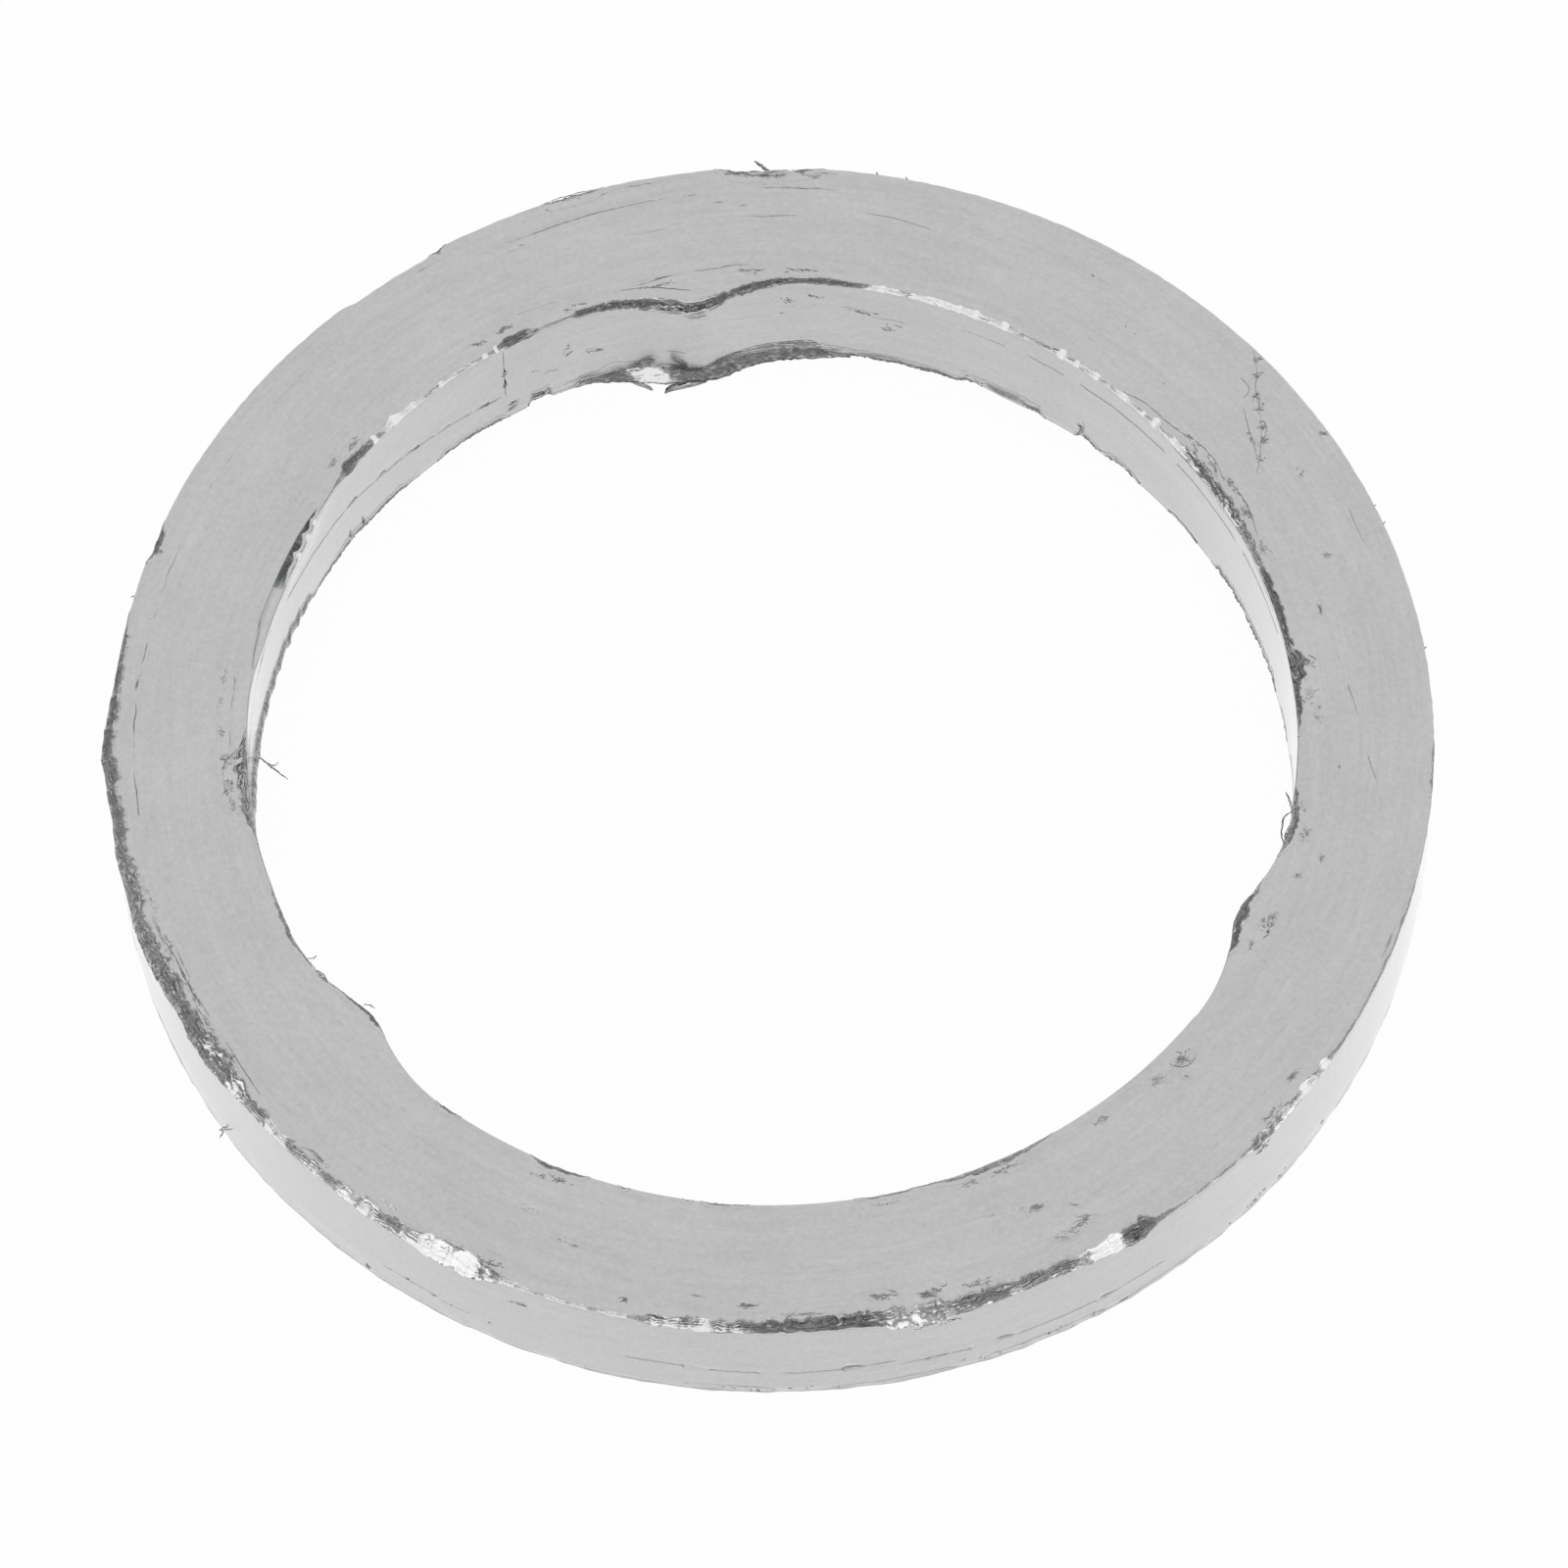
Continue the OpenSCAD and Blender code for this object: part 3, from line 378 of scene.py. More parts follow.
lowerBoreTorn = [
    [[-3, 0, 0, 0, 0.2, 0], [-1, 0.1, 0.25, 0.03, 0.6, 0.1], [4, 0.1, 0.25, 0.03, 0.6, 0.15], [4.8, 0, 0, 0, 0.2, 0]],
    [[6.4, 0, 0, 0, 0.2, 0], [7.2, 0.1, 0.25, -0.02, 0.9, 0], [10, 0.1, 0.2, -0.02, 0.8, 0], [11, 0, 0, 0, 0.2, 0]],
    [[12.8, 0, 0, 0, 0.2, 0], [14, 0.16, 0.5, -0.12, 1.25, 0.05], [22, 0.14, 0.4, -0.08, 1.1, 0.1],
     [29, 0.16, 0.5, -0.12, 1.25, 0.05], [31, 0, 0, 0, 0.2, 0]],
    [[33.6, 0, 0, 0, 0.2, 0], [35, 0.06, 0.12, 0.01, 0.45, 0], [38, 0.06, 0.12, 0.01, 0.45, 0], [39, 0, 0, 0, 0.2, 0]],
    [[43.5, 0, 0, 0, 0.2, 0], [45.3, 0.2, 0.45, -0.05, 1.2, 0.05], [48.2, 0.15, 0.3, -0.02, 1.0, 0.2],
     [49.5, 0.05, 0.1, 0, 0.35, 0.3], [50.5, 0.2, 0.48, -0.05, 1.2, 0.1], [52.3, 0.24, 0.6, -0.1, 1.3, 0],
     [53.4, 0, 0, 0, 0.2, 0]],
    [[57, 0, 0, 0, 0.3, 0], [58, 0.18, 0.62, -0.1, 1.3, 0.05], [63, 0.2, 0.68, -0.12, 1.3, 0.05],
     [66.8, 0.18, 0.58, -0.08, 1.25, 0.05], [68, 0.1, 0.24, -0.04, 1.0, 0], [72, 0.12, 0.34, -0.08, 1.15, 0],
     [80, 0.14, 0.42, -0.08, 1.15, 0.1], [83, 0.14, 0.42, -0.03, 1.0, 0], [88, 0.16, 0.5, 0.08, 0.95, 0.1],
     [92, 0.16, 0.5, 0.08, 0.85, 0.3], [96, 0.14, 0.4, 0.05, 0.75, 0.4], [100, 0.16, 0.4, 0.06, 0.75, 0.4],
     [103, 0.18, 0.45, 0.06, 0.6, 0.7], [105.5, 0.18, 0.45, 0.06, 0.7, 0.5], [110, 0.15, 0.4, 0.05, 0.85, 0.2],
     [112.5, 0.05, 0.1, 0, 0.3, 0.3], [114.8, 0.05, 0.1, 0, 0.3, 0], [115.3, 0.16, 0.7, 0.05, 0.95, 0],
     [117.4, 0.16, 0.7, 0.05, 0.95, 0], [118, 0, 0, 0, 0.2, 0]],
    [[120.3, 0, 0, 0, 0.2, 0], [121.5, 0.12, 0.35, -0.05, 0.95, 0.1], [129, 0.12, 0.3, -0.05, 0.9, 0.15],
     [130.3, 0, 0, 0, 0.2, 0]],
    [[133, 0, 0, 0, 0.2, 0], [134.5, 0.1, 0.3, -0.05, 0.85, 0.15], [140, 0.1, 0.3, -0.05, 0.85, 0.15],
     [142, 0.15, 0.5, -0.04, 0.9, 0.15], [144.5, 0.15, 0.5, -0.05, 0.85, 0.2], [152, 0.1, 0.4, -0.06, 0.85, 0.2],
     [154, 0.15, 0.8, -0.2, 1.1, 0.1], [157, 0.2, 0.95, -0.3, 1.2, 0.1], [163, 0.18, 0.9, -0.32, 1.15, 0.2],
     [170, 0.16, 0.9, -0.34, 1.15, 0.1], [180, 0.18, 1.0, -0.34, 1.2, 0.1], [186, 0.12, 0.7, -0.2, 1.0, 0.1],
     [190, 0, 0, 0, 0.2, 0]],
]

# Painted highlights on the edges, which also widen there: angle, half length in degrees, extra width
boreGlints = [
    [38.7, 0.5, 0.1], [41.7, 0.6, 0.16], [43.5, 0.4, 0.05], [46.5, 0.8, 0.05], [50.5, 0.5, 0.12],
    [53.2, 0.5, 0.06], [55.3, 0.6, 0.17], [62.5, 0.6, 0.16], [66, 0.5, 0.06], [68, 0.4, 0.08], [77, 0.6, 0.08],
    [121.5, 0.3, 0.08], [123, 0.4, 0.06], [129, 0.3, 0.06], [133, 0.3, 0.06], [135.5, 0.9, 0.16], [139, 0.4, 0.08],
    [151.5, 0.5, 0.05], [153.5, 0.6, 0.06], [156, 0.5, 0.06],
]
outerGlints = [[239.2, 0.6, 0.05], [241.8, 0.5, 0.06], [299.3, 0.9, 0.05], [322, 0.6, 0.04], [325, 0.6, 0.04]]

# Raised lips: rows of angle and how far they stand out of the wall
outerLip = [[[171, 0], [174, 0.03], [178, 0.3], [181, 0.52], [184, 0.3], [187, 0.12], [190, 0.3],
             [193.5, 0.16], [197, 0.34], [201, 0.2], [205, 0]]]
boreLip = [[[147, 0], [150, 0.06], [154, 0.26], [161, 0.26], [167, 0.18], [171, 0.05], [174, 0]]]
boreRoll = [[[148, 0], [154, 1], [165, 1], [173, 0]]]

# Cracks in the faces: start angle, start turn, end angle, end turn, darkness of the painted shade in the groove
faceCracks = [
    [0.5, 9.2, 5, 7.8, 0.6], [5.4, 7.7, 9, 6.8, 0.55], [12.2, 5.8, 14.5, 5.2, 0.8], [18, 16.2, 24.5, 16.2, 0.6],
    [73, 12.2, 84, 13.4, 0.6], [86.4, 11.5, 92, 11.5, 0.55], [82.5, 16.5, 91.5, 16.3, 0.85],
    [95.8, 16, 118, 15.7, 0.85], [99.4, 10.8, 103.6, 10.6, 0.5], [91.5, 3.2, 104.5, 2.1, 0.85],
    [108.6, 3, 118, 4, 0.45], [96, 19.1, 110.2, 18.9, 0.75],
    [121, 18, 124, 18, 0.5], [126, 18.2, 130, 17.8, 0.5], [171.5, 2.4, 181, 2.4, 0.75], [201, 17, 209, 17, 0.8],
    [210, 14.6, 224, 14.2, 0.35], [211.5, 3.6, 226, 4.2, 0.4], [273.5, 17.6, 278, 16.4, 0.5],
    [350.5, 13.2, 353, 12.2, 0.5], [353.4, 12, 357.7, 9.8, 0.6], [358, 9.6, 359.6, 9, 0.5], [9.4, 6.8, 20, 6.6, 0.3],
    [136, 16, 151, 16.2, 0.35], [151.5, 16.2, 169, 16.2, 0.75], [169.4, 16.2, 175, 16.4, 1.0],
    [175.4, 16.6, 188, 16.4, 0.9], [144, 4, 162, 4, 0.3], [162.5, 3.8, 171, 3.6, 0.4], [334, 17.2, 359, 17.2, 0.3],
    [60, 8, 66, 8.4, 0.3], [120, 12, 128, 12.4, 0.3], [110, 9, 117, 9, 0.3], [70, 6, 78, 6.4, 0.3],
]
# Cracks that run through the full height, as the underside shows them
underCracks = [
    [9.4, 6.8, 20, 6.6, 0.5], [80, 16.4, 89, 16.4, 0.6], [91, 16.4, 99, 16.8, 0.6], [99.4, 16.8, 107, 16.4, 0.6],
    [136, 16, 151, 16.2, 0.6], [151.5, 16.2, 169, 16.2, 0.7], [169.4, 16.2, 175, 16.4, 0.7],
    [175.4, 16.6, 188, 16.4, 0.7], [144, 4, 162, 4, 0.5], [162.5, 3.8, 171, 3.6, 0.5], [334, 17.2, 359, 17.2, 0.5],
]
# Cracks in the walls: start angle, height there, end angle, height there, darkness of the painted shade in the groove
outerWallCracks = [
    [256.5, 2.0, 264.4, 2.0, 0.6], [263.6, 1.8, 270.2, 1.78, 0.55], [270, 1.75, 277.6, 1.8, 0.8],
    [277.4, 1.9, 280.4, 1.9, 1.2], [280.2, 1.6, 284.6, 1.6, 0.8], [284.4, 1.55, 288.4, 1.5, 0.9],
    [288.2, 1.65, 290.4, 1.65, 1.2], [290.3, 1.5, 300.4, 1.5, 0.7], [300.2, 1.55, 305, 1.55, 0.6],
]
boreWallCracks = [
    [13.5, 4.15, 26.4, 4.15, 0.6], [26, 4.1, 40, 4.05, 0.85], [39.6, 4.05, 54.8, 4.02, 0.9], [54.6, 4, 60, 3.98, 0.7],
    [62, 3.95, 68, 3.95, 0.5], [121.2, 1.7, 125.2, 1.85, 0.8], [125, 1.85, 130.4, 2.05, 0.7],
    [130.2, 2.05, 135.2, 2.3, 0.7], [135, 2.3, 140.2, 2.55, 0.7], [140, 2.55, 145.2, 2.85, 0.7],
    [145, 2.85, 158.5, 3.15, 0.7],
]

skinShape = {
    "columns": 950,
    "faceLines": 36,
    "wallLines": 17,
    "underLines": 14,
    "cornerPoints": 6,
    "bevel": 0.05,
    "crackHalf": 0.035,
    "crackDepth": 0.1,
    "crackReach": 2.0,         # degrees over which the grid comes back from a crack's end
    "waviness": 0.012,
    "seam": [120.7, 1.7],      # angle and lowest height of the open strip end
    "flat": [120.5, 131, 0.16, 2.5],
}


def edgeState(zones, glints, angles):
    # width, drop, hollow, painted shade and painted highlight of a torn edge at each angle
    wide, drop, hollow, shadeAndMarks, gleam = (alongRows(zones, angles, column) for column in (1, 2, 3, 4, 5))
    for place, half, extra in glints:
        spot = np.exp(-(angleGap(angles, place) / half) ** 2)
        wide, drop = wide + extra * spot, drop + 0.7 * extra * spot
        gleam, shadeAndMarks = np.maximum(gleam, 1.5 * spot), shadeAndMarks * (1 - 0.6 * spot)
    ragged = 1 + 0.25 * noise(angles, 0 * angles, 420, 5) + 0.1 * noise(angles, 0 * angles, 1300, 6)
    return wide * ragged, drop * ragged, hollow, shadeAndMarks, gleam


def faceLevel(angles, radius):
    return height + skinShape["waviness"] * (noise(angles, radius * 0.8, 40, 11) - 1)


def outerWall(angles, z):
    # radius of the outer wall, with its raised lip, its flat and the bumps near its foot
    lipFade = np.clip(1 - (height - z) / 2.6, 0, 1) ** 1.5
    lip = (alongRows(outerLip, angles, 1) + noise(angles, 0 * angles, 500, 3) * 0.015) * lipFade
    flatStart, flatEnd, flatIn, flatDown = skinShape["flat"]
    flatShare = np.clip((angles - flatStart) / 1.5, 0, 1) * np.clip((flatEnd - angles) / 1.5, 0, 1)
    flat = flatIn * flatShare * np.clip(1 - (height - z) / flatDown, 0, 1)
    foot = 0.05 * np.abs(noise(angles, z * 1.5, 160, 33)) * np.clip(1 - z / 1.2, 0, 1)
    return outerR + lip - flat - foot


def innerWall(angles, z):
    lipFade = np.clip(1 - (height - z) / 1.6, 0, 1)
    ripple = 0.015 * noise(angles, z * 0.7, 60, 41)
    return boreWall(angles) - alongRows(boreLip, angles, 1) * lipFade + ripple


def pinned(base, angles, cracks, shape, downward=False):
    # pulls lines of the grid onto the cracks, so that each crack is a real groove; returns places and depths, which the
    # skin also uses as painted shade in the grooves
    places, depth = base.copy(), np.zeros_like(base)
    count, reach = base.shape[1], shape["crackReach"]
    held = [{0: None, count - 1: None} for _ in angles]
    sign = -1 if downward else 1
    for number, (a0, v0, a1, v1, darkness) in enumerate(cracks):
        turned = (angles - a0 + 5) % 360 + a0 - 5
        inside = np.where((turned >= a0 - reach) & (turned <= a1 + reach))[0]
        line = int(np.clip(np.argmin(np.abs(base[inside[len(inside) // 2]] - (v0 + v1) / 2)), 3, count - 4))
        wander = 0.035 * noise(turned, v0 + 0 * turned, 220, 77) + 0.02 * noise(turned, v0 + 0 * turned, 640, 78)
        vary = darkness * np.clip(0.9 + 0.6 * noise(turned, number + 0 * turned, 150, 79), 0.35, 1.2)
        for i in inside:
            spot = min(max(turned[i], a0), a1)
            hold = 1 - abs(turned[i] - spot) / reach
            target = v0 + (v1 - v0) * (spot - a0) / (a1 - a0) + wander[i]
            for step in (-2, -1, 0, 1, 2):
                held[i][line + step] = (target + sign * step * abs(step) ** 0.6 * shape["crackHalf"], hold)
            depth[i, line] = vary[i] * np.clip(min(turned[i] - a0, a1 - turned[i]) / 0.8, 0, 1)
    for i, pins in enumerate(held):
        if len(pins) == 2:
            continue
        order = sorted(pins)
        values = [base[i, n] if pins[n] is None else base[i, n] + (pins[n][0] - base[i, n]) * pins[n][1] for n in order]
        for n in range(1, len(order)):  # lines never cross
            nearest = values[n - 1] + sign * 0.01
            values[n] = min(values[n], nearest) if downward else max(values[n], nearest)
        places[i] = np.interp(np.arange(count), order, values)
    return places, depth


def corner(wide, drop, hollow, edge, wallEdge, side, level, up, points):
    # the torn or bevelled corner between a face and a wall, from the face to the wall
    share = np.linspace(0, 1, points)[None, :]
    under = 0.09 * np.clip(np.minimum(wide, drop) / 0.07 - 0.8, 0, 1)     # room for the crinkled foil
    inward = (0.7 * hollow + under)[:, None] * np.sin(share * math.pi)
    meet = edge[:, None] + (wallEdge - edge)[:, None] * share
    radius = meet - side * (wide[:, None] * (1 - share) + inward)
    z = level - up * (drop[:, None] * share + inward)
    return radius, z


def buildSkin(shape):
    special = [shape["seam"][0] + d for d in (-0.6, -0.25, -0.12, 0, 0.12, 0.25, 0.6)]
    angles = np.unique(np.concatenate([np.linspace(0, 360, shape["columns"], endpoint=False), special]))
    flat = 0 * angles
    wall, bevel, points = boreWall(angles), shape["bevel"], shape["cornerPoints"]
    # The torn edges' darkness is painted shade.
    outerWide, outerDrop, outerHollow, outerShade, _ = edgeState(outerTorn, outerGlints, angles)
    boreWide, boreDrop, boreHollow, boreShade, _ = edgeState(upperBoreTorn, boreGlints, angles)
    lowWide, lowDrop, lowHollow, lowShade, _ = edgeState(lowerBoreTorn, [], angles)
    outerWide, outerDrop, boreWide, boreDrop, lowWide, lowDrop = (
        np.maximum(value, bevel) for value in (outerWide, outerDrop, boreWide, boreDrop, lowWide, lowDrop))
    rolled = alongRows(boreRoll, angles, 1)
    boreWide, boreDrop = np.maximum(boreWide, 0.5 * rolled), np.maximum(boreDrop, 0.3 * rolled)
    boreHollow = boreHollow - 0.06 * rolled
    outerEdge, boreEdge = outerWall(angles, height + flat), innerWall(angles, height + flat)

    faceShare = np.linspace(0, 1, shape["faceLines"])[None, :]
    low, high = (boreEdge + boreWide)[:, None], (outerEdge - outerWide)[:, None]
    cracks = [[a0, boreR + t0 * turnWidth, a1, boreR + t1 * turnWidth, dark] for a0, t0, a1, t1, dark in faceCracks]
    faceR, faceCrack = pinned(low + (high - low) * faceShare, angles, cracks, shape)
    faceZ = faceLevel(angles[:, None] + 0 * faceR, faceR) - faceCrack * shape["crackDepth"]
    # The faces, walls and underside carry their crack depths as painted shade in the grooves.
    parts = [(faceR, faceZ, faceCrack)]

    def tornShade(wide, shadeAndMarks, count):
        return (np.clip((wide - bevel) / 0.1, 0, 1) * np.clip(shadeAndMarks * 1.2, 0, 1))[:, None] * np.ones((1, count))

    wallEdge = outerWall(angles, height - outerDrop)
    r, z = corner(outerWide, outerDrop, outerHollow, outerEdge, wallEdge, 1, height - 0.012, 1, points + 1)
    parts.append((r[:, 1:], z[:, 1:], tornShade(outerWide, outerShade, points)))

    wallShare = np.linspace(0, 1, shape["wallLines"] + 2)[None, 1:]
    top = (height - outerDrop)[:, None]
    foot = (0.09 + 0.05 * noise(angles, flat, 130, 31) + 0.03 * noise(angles, flat, 420, 32))[:, None]
    outerZ, outerCrack = pinned(top + (foot - top) * wallShare, angles, outerWallCracks, shape, True)
    column = angles[:, None] + 0 * outerZ
    parts.append((outerWall(column, outerZ) - outerCrack * shape["crackDepth"], outerZ, outerCrack))

    underShare = np.linspace(0, 1, shape["underLines"])[None, :]
    outside, inside = (outerR - 0.12) + flat[:, None], (wall + lowWide)[:, None]
    cracks = [[a0, boreR + t0 * turnWidth, a1, boreR + t1 * turnWidth, dark] for a0, t0, a1, t1, dark in underCracks]
    underR, underCrack = pinned(outside + (inside - outside) * underShare, angles, cracks, shape, True)
    parts.append((underR, underCrack * shape["crackDepth"], underCrack))
    r, z = corner(lowWide, lowDrop, lowHollow, wall, innerWall(angles, lowDrop), -1, 0, -1, points)
    parts.append((r[:, 1:], z[:, 1:], tornShade(lowWide, lowShade, points - 1)))

    top, bottom = (height - boreDrop)[:, None], lowDrop[:, None]
    boreZ, boreCrack = pinned(bottom + (top - bottom) * wallShare[:, :-1], angles, boreWallCracks, shape)
    column = angles[:, None] + 0 * boreZ
    seamAngle, seamLow = shape["seam"]
    # The open strip end is a groove in the bore wall, painted dark as shade in the gap.
    seam = np.clip(1 - np.abs(angleGap(column, seamAngle)) / 0.12, 0, 1) * (boreZ > seamLow)
    opened = np.maximum(boreCrack, 1.1 * seam)
    parts.append((innerWall(column, boreZ) + opened * shape["crackDepth"], boreZ, opened))
    wallEdge = innerWall(angles, height - boreDrop)
    r, z = corner(boreWide, boreDrop, boreHollow, boreEdge, wallEdge, -1, height - 0.012, 1, points + 1)
    parts.append((r[:, ::-1][:, :-1], z[:, ::-1][:, :-1], tornShade(alongRows(upperBoreTorn, angles, 1), boreShade, points)))

    radius, z, shadeAndMarks = (np.concatenate([part[k] for part in parts], axis=1) for k in range(3))
    columns, rows = radius.shape
    i, j = np.meshgrid(np.arange(columns), np.arange(rows), indexing="ij")
    a, b = i * rows + j, i * rows + (j + 1) % rows
    c, d = ((i + 1) % columns) * rows + (j + 1) % rows, ((i + 1) % columns) * rows + j
    return polar(radius, angles[:, None], z), np.stack([a, b, c, d], axis=-1).reshape(-1, 4), shadeAndMarks.reshape(-1)


places, faces, shadeAndMarks = buildSkin(skinShape)
skin = addPiece("ringSkin", places, faces, shadeAndMarks)
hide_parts("ring")


# Crinkled foil along the torn edges

crinkleShape = {
    "step": 0.1,               # degrees between two rows of points
    "across": 17,
    "layers": 4.5,             # layer edges seen across a tear
    "ridges": 0.06,            # height of the layers' edges
    "crumple": 0.03,
    "faceFeather": [0.4, 0.28, 0.18, 0.1, 0.04],     # how far dark strokes reach over the face
    "wallFeather": [0.05, 0.12, 0.2],
    "above": 0.004,
}


def buildCrinkles(zones, glints, side, face, spread, shape, seed):
    places, faces, shadeAndMarksParts, gleams = [], [], [], []
    start = 0
    before, after = [spread * reach for reach in shape["faceFeather"]], shape["wallFeather"]
    share = np.concatenate([[0] * len(before), np.linspace(0, 1, shape["across"]), [1] * len(after)])[None, :]
    beyondFace = np.concatenate([before, [0] * (shape["across"] + len(after))])[None, :]
    beyondWall = np.concatenate([[0] * (len(before) + shape["across"]), after])[None, :]
    fade = np.concatenate([np.linspace(0, 0.75, len(before)), [1] * shape["across"], np.linspace(0.6, 0, len(after))])[None, :]
    bulge = np.sin(share * math.pi)
    for rows in zones:
        angles = np.arange(rows[0][0], rows[-1][0], shape["step"])
        if len(angles) < 4:
            continue
        wide, drop, hollow, shadeAndMarks, gleam = edgeState([rows], glints, angles)
        strength = np.clip(np.minimum(wide, drop) / 0.12, 0, 1)[:, None]
        column = angles[:, None] + 0 * share
        depth = (drop[:, None] + 0 * share) * share
        wallHere = outerWall if side > 0 else innerWall
        edge = wallHere(column, height - depth) if face > 0 else innerWall(column, depth)
        peel = share * shape["layers"] + 0.9 * noise(column, share * 2, 230, seed) + 0.4 * noise(column, share * 3, 800, seed + 1)
        ridges = 1 - 2 * (peel - np.floor(peel))
        crumple = noise(column, share * 5, 1300, seed + 2)
        smooth = np.clip(1.3 - 4 * np.abs(hollow[:, None]), 0.3, 1)
        smooth = smooth * (1 - 0.7 * np.clip((gleam[:, None] - 0.7) / 0.4, 0, 1))
        lift = (ridges * shape["ridges"] * smooth + crumple * smooth * shape["crumple"]) * strength * bulge - 0.55 * hollow[:, None] * bulge
        slope = np.arctan2(drop, wide)[:, None]
        back = wide[:, None] * (1 - share) + beyondFace * (0.35 + 0.65 * strength)
        radius = edge - side * back + side * (lift * np.sin(slope) + shape["above"] * (share > 0.5))
        down = drop[:, None] * share + beyondWall * (0.3 + 0.7 * strength)
        level = faceLevel(column, radius) if face > 0 else 0 * column
        z = (level - down + lift * np.cos(slope) + shape["above"]) if face > 0 else (down - lift * np.cos(slope) - shape["above"])
        z = np.clip(z, 0.0, height)
        places.append(polar(radius, column, z))
        faces.append(gridFaces(*radius.shape, start, flip=side * face < 0))
        # Painted shade in the tears, darker in the hollows between layer edges; painted highlights, stronger on the
        # ridges and towards the wall side.
        shadeAndMarksParts.append((shadeAndMarks[:, None] * fade * (0.3 + 0.7 * strength) * (1 - 0.3 * ridges - 0.1 * share)).reshape(-1))
        gleams.append((gleam[:, None] * (fade > 0.95) * (0.85 + 0.25 * ridges + 0.25 * share)).reshape(-1))
        start += radius.size
    return np.concatenate(places), np.concatenate(faces), np.concatenate(shadeAndMarksParts), np.concatenate(gleams)


for name, zones, glints, side, face, spread, seed in (
        ("tornOuterEdge", outerTorn, outerGlints, 1, 1, 1.0, 51),
        ("tornUpperBoreEdge", upperBoreTorn, boreGlints, -1, 1, 0.45, 61),
        ("tornLowerBoreEdge", lowerBoreTorn, [], -1, -1, 0.3, 71)):
    addPiece(name, *buildCrinkles(zones, glints, side, face, spread, crinkleShape, seed))


# Flash squeezed out under the first dent, with two torn flaps: rows of angle and radius of its edge

flashShape = {
    "edge": [[80.5, 19.24], [84.6, 19.02], [87.7, 18.91], [90.7, 18.78], [91.9, 18.64], [95.3, 18.21], [97.7, 18.16],
             [99.7, 18.2], [101.2, 18.26], [102.2, 18.3], [103.3, 18.42], [104.2, 18.52], [105.3, 18.62],
             [106, 18.75], [107.4, 18.87], [109.6, 19.13], [112.2, 19.25]],
    "flaps": [
        [[97.2, 18.1], [98.6, 18.02], [100.2, 17.98], [101.6, 17.95], [102.5, 17.92], [102.2, 18.1], [101.6, 18.2],
         [100.4, 18.25], [98.8, 18.28]],
        [[106, 18.74], [105.3, 18.52], [104.7, 18.38], [104.1, 18.2], [103.75, 18.15], [103.9, 18.3], [104.3, 18.45],
         [104.9, 18.6], [105.3, 18.72]],
    ],
    "across": 9,
    "step": 0.12,
}


def buildFlash(shape):
    edgeAngles, edgeRadii = zip(*shape["edge"])
    angles = np.arange(edgeAngles[0], edgeAngles[-1], shape["step"])
    share = np.linspace(0, 1, shape["across"])[None, :]
    column = angles[:, None] + 0 * share
    outside = boreWall(angles)[:, None] + 0.02
    inside = np.minimum(np.interp(angles, edgeAngles, edgeRadii)[:, None], outside - 0.03)
    radius = outside + (inside - outside) * share + 0.03 * noise(column, share * 4, 900, 91) * share
    rough = (0.05 * noise(column, share * 6, 1500, 92, True) + 0.04 * noise(column, share * 3, 500, 93)) * np.sin(share * 2.6)
    z = np.clip(0.42 - 0.36 * share ** 0.8 + rough, 0.03, 0.6)
    # The flash is painted dark as shade, with a painted highlight that peaks near 103.8 degrees.
    bright = np.clip(1 - np.abs(column - 103.8) / 2.6, 0, 1) ** 0.5
    shadeAndMarks = np.clip(0.95 - 0.7 * bright - 0.2 * share, 0.1, 1) + 0.3 * noise(column, share * 5, 800, 94)
    gleam = np.clip(0.3 + 0.65 * bright + 0.25 * noise(column, share * 5, 700, 95), 0, 1)
    places = [polar(radius, column, z), polar(radius, column, 0.25 * z)]
    count = radius.size
    faces = [gridFaces(*radius.shape, 0, flip=True), gridFaces(*radius.shape, count)]
    columns, rows = radius.shape
    rim = np.arange(columns - 1) * rows + rows - 1
    faces.append(np.stack([rim, rim + count, rim + rows + count, rim + rows], axis=-1))
    shadeAndMarksParts, gleams = [shadeAndMarks.reshape(-1)] * 2, [gleam.reshape(-1)] * 2
    start = 2 * count
    for number, flap in enumerate(shape["flaps"]):
        outline = np.array(flap)
        middle = outline.mean(axis=0)
        rings = [outline, middle + (outline - middle) * 0.6, middle + (outline - middle) * 0.25]
        for lift in (0.1, 0.02):
            for k, ring in enumerate(rings):
                bend = lift + 0.04 * k * (lift > 0.05) + 0.02 * noise(ring[:, 0], 0 * ring[:, 0] + k, 1300, 96 + number)
                places.append(polar(ring[:, 1], ring[:, 0], bend))
                # Each flap is painted darker at its outline and brighter inward: painted shade and painted highlight.
                shadeAndMarksParts.append(np.full(len(ring), 0.8 - 0.25 * k))
                gleams.append(np.full(len(ring), 0.2 + 0.2 * k))
        n = len(outline)
        for layer in (0, 1):
            for k in (0, 1):
                a = start + (layer * 3 + k) * n + np.arange(n)
                b = start + (layer * 3 + k) * n + (np.arange(n) + 1) % n
                faces.append(np.stack([a, b, b + n, a + n], axis=-1) if layer else np.stack([a, a + n, b + n, b], axis=-1))
        a, b = start + np.arange(n), start + (np.arange(n) + 1) % n
        faces.append(np.stack([a, b, b + 3 * n, a + 3 * n], axis=-1))
        start += 6 * n
    return np.concatenate(places), np.concatenate(faces), np.concatenate(shadeAndMarksParts), np.concatenate(gleams)


addPiece("squeezedFlash", *buildFlash(flashShape))


# Soft patches: surface, angle, radius or height, half length, half width, turn, darkness, gleam. The dark ones are
# partly painted shade and partly marks; gleam paints highlights.

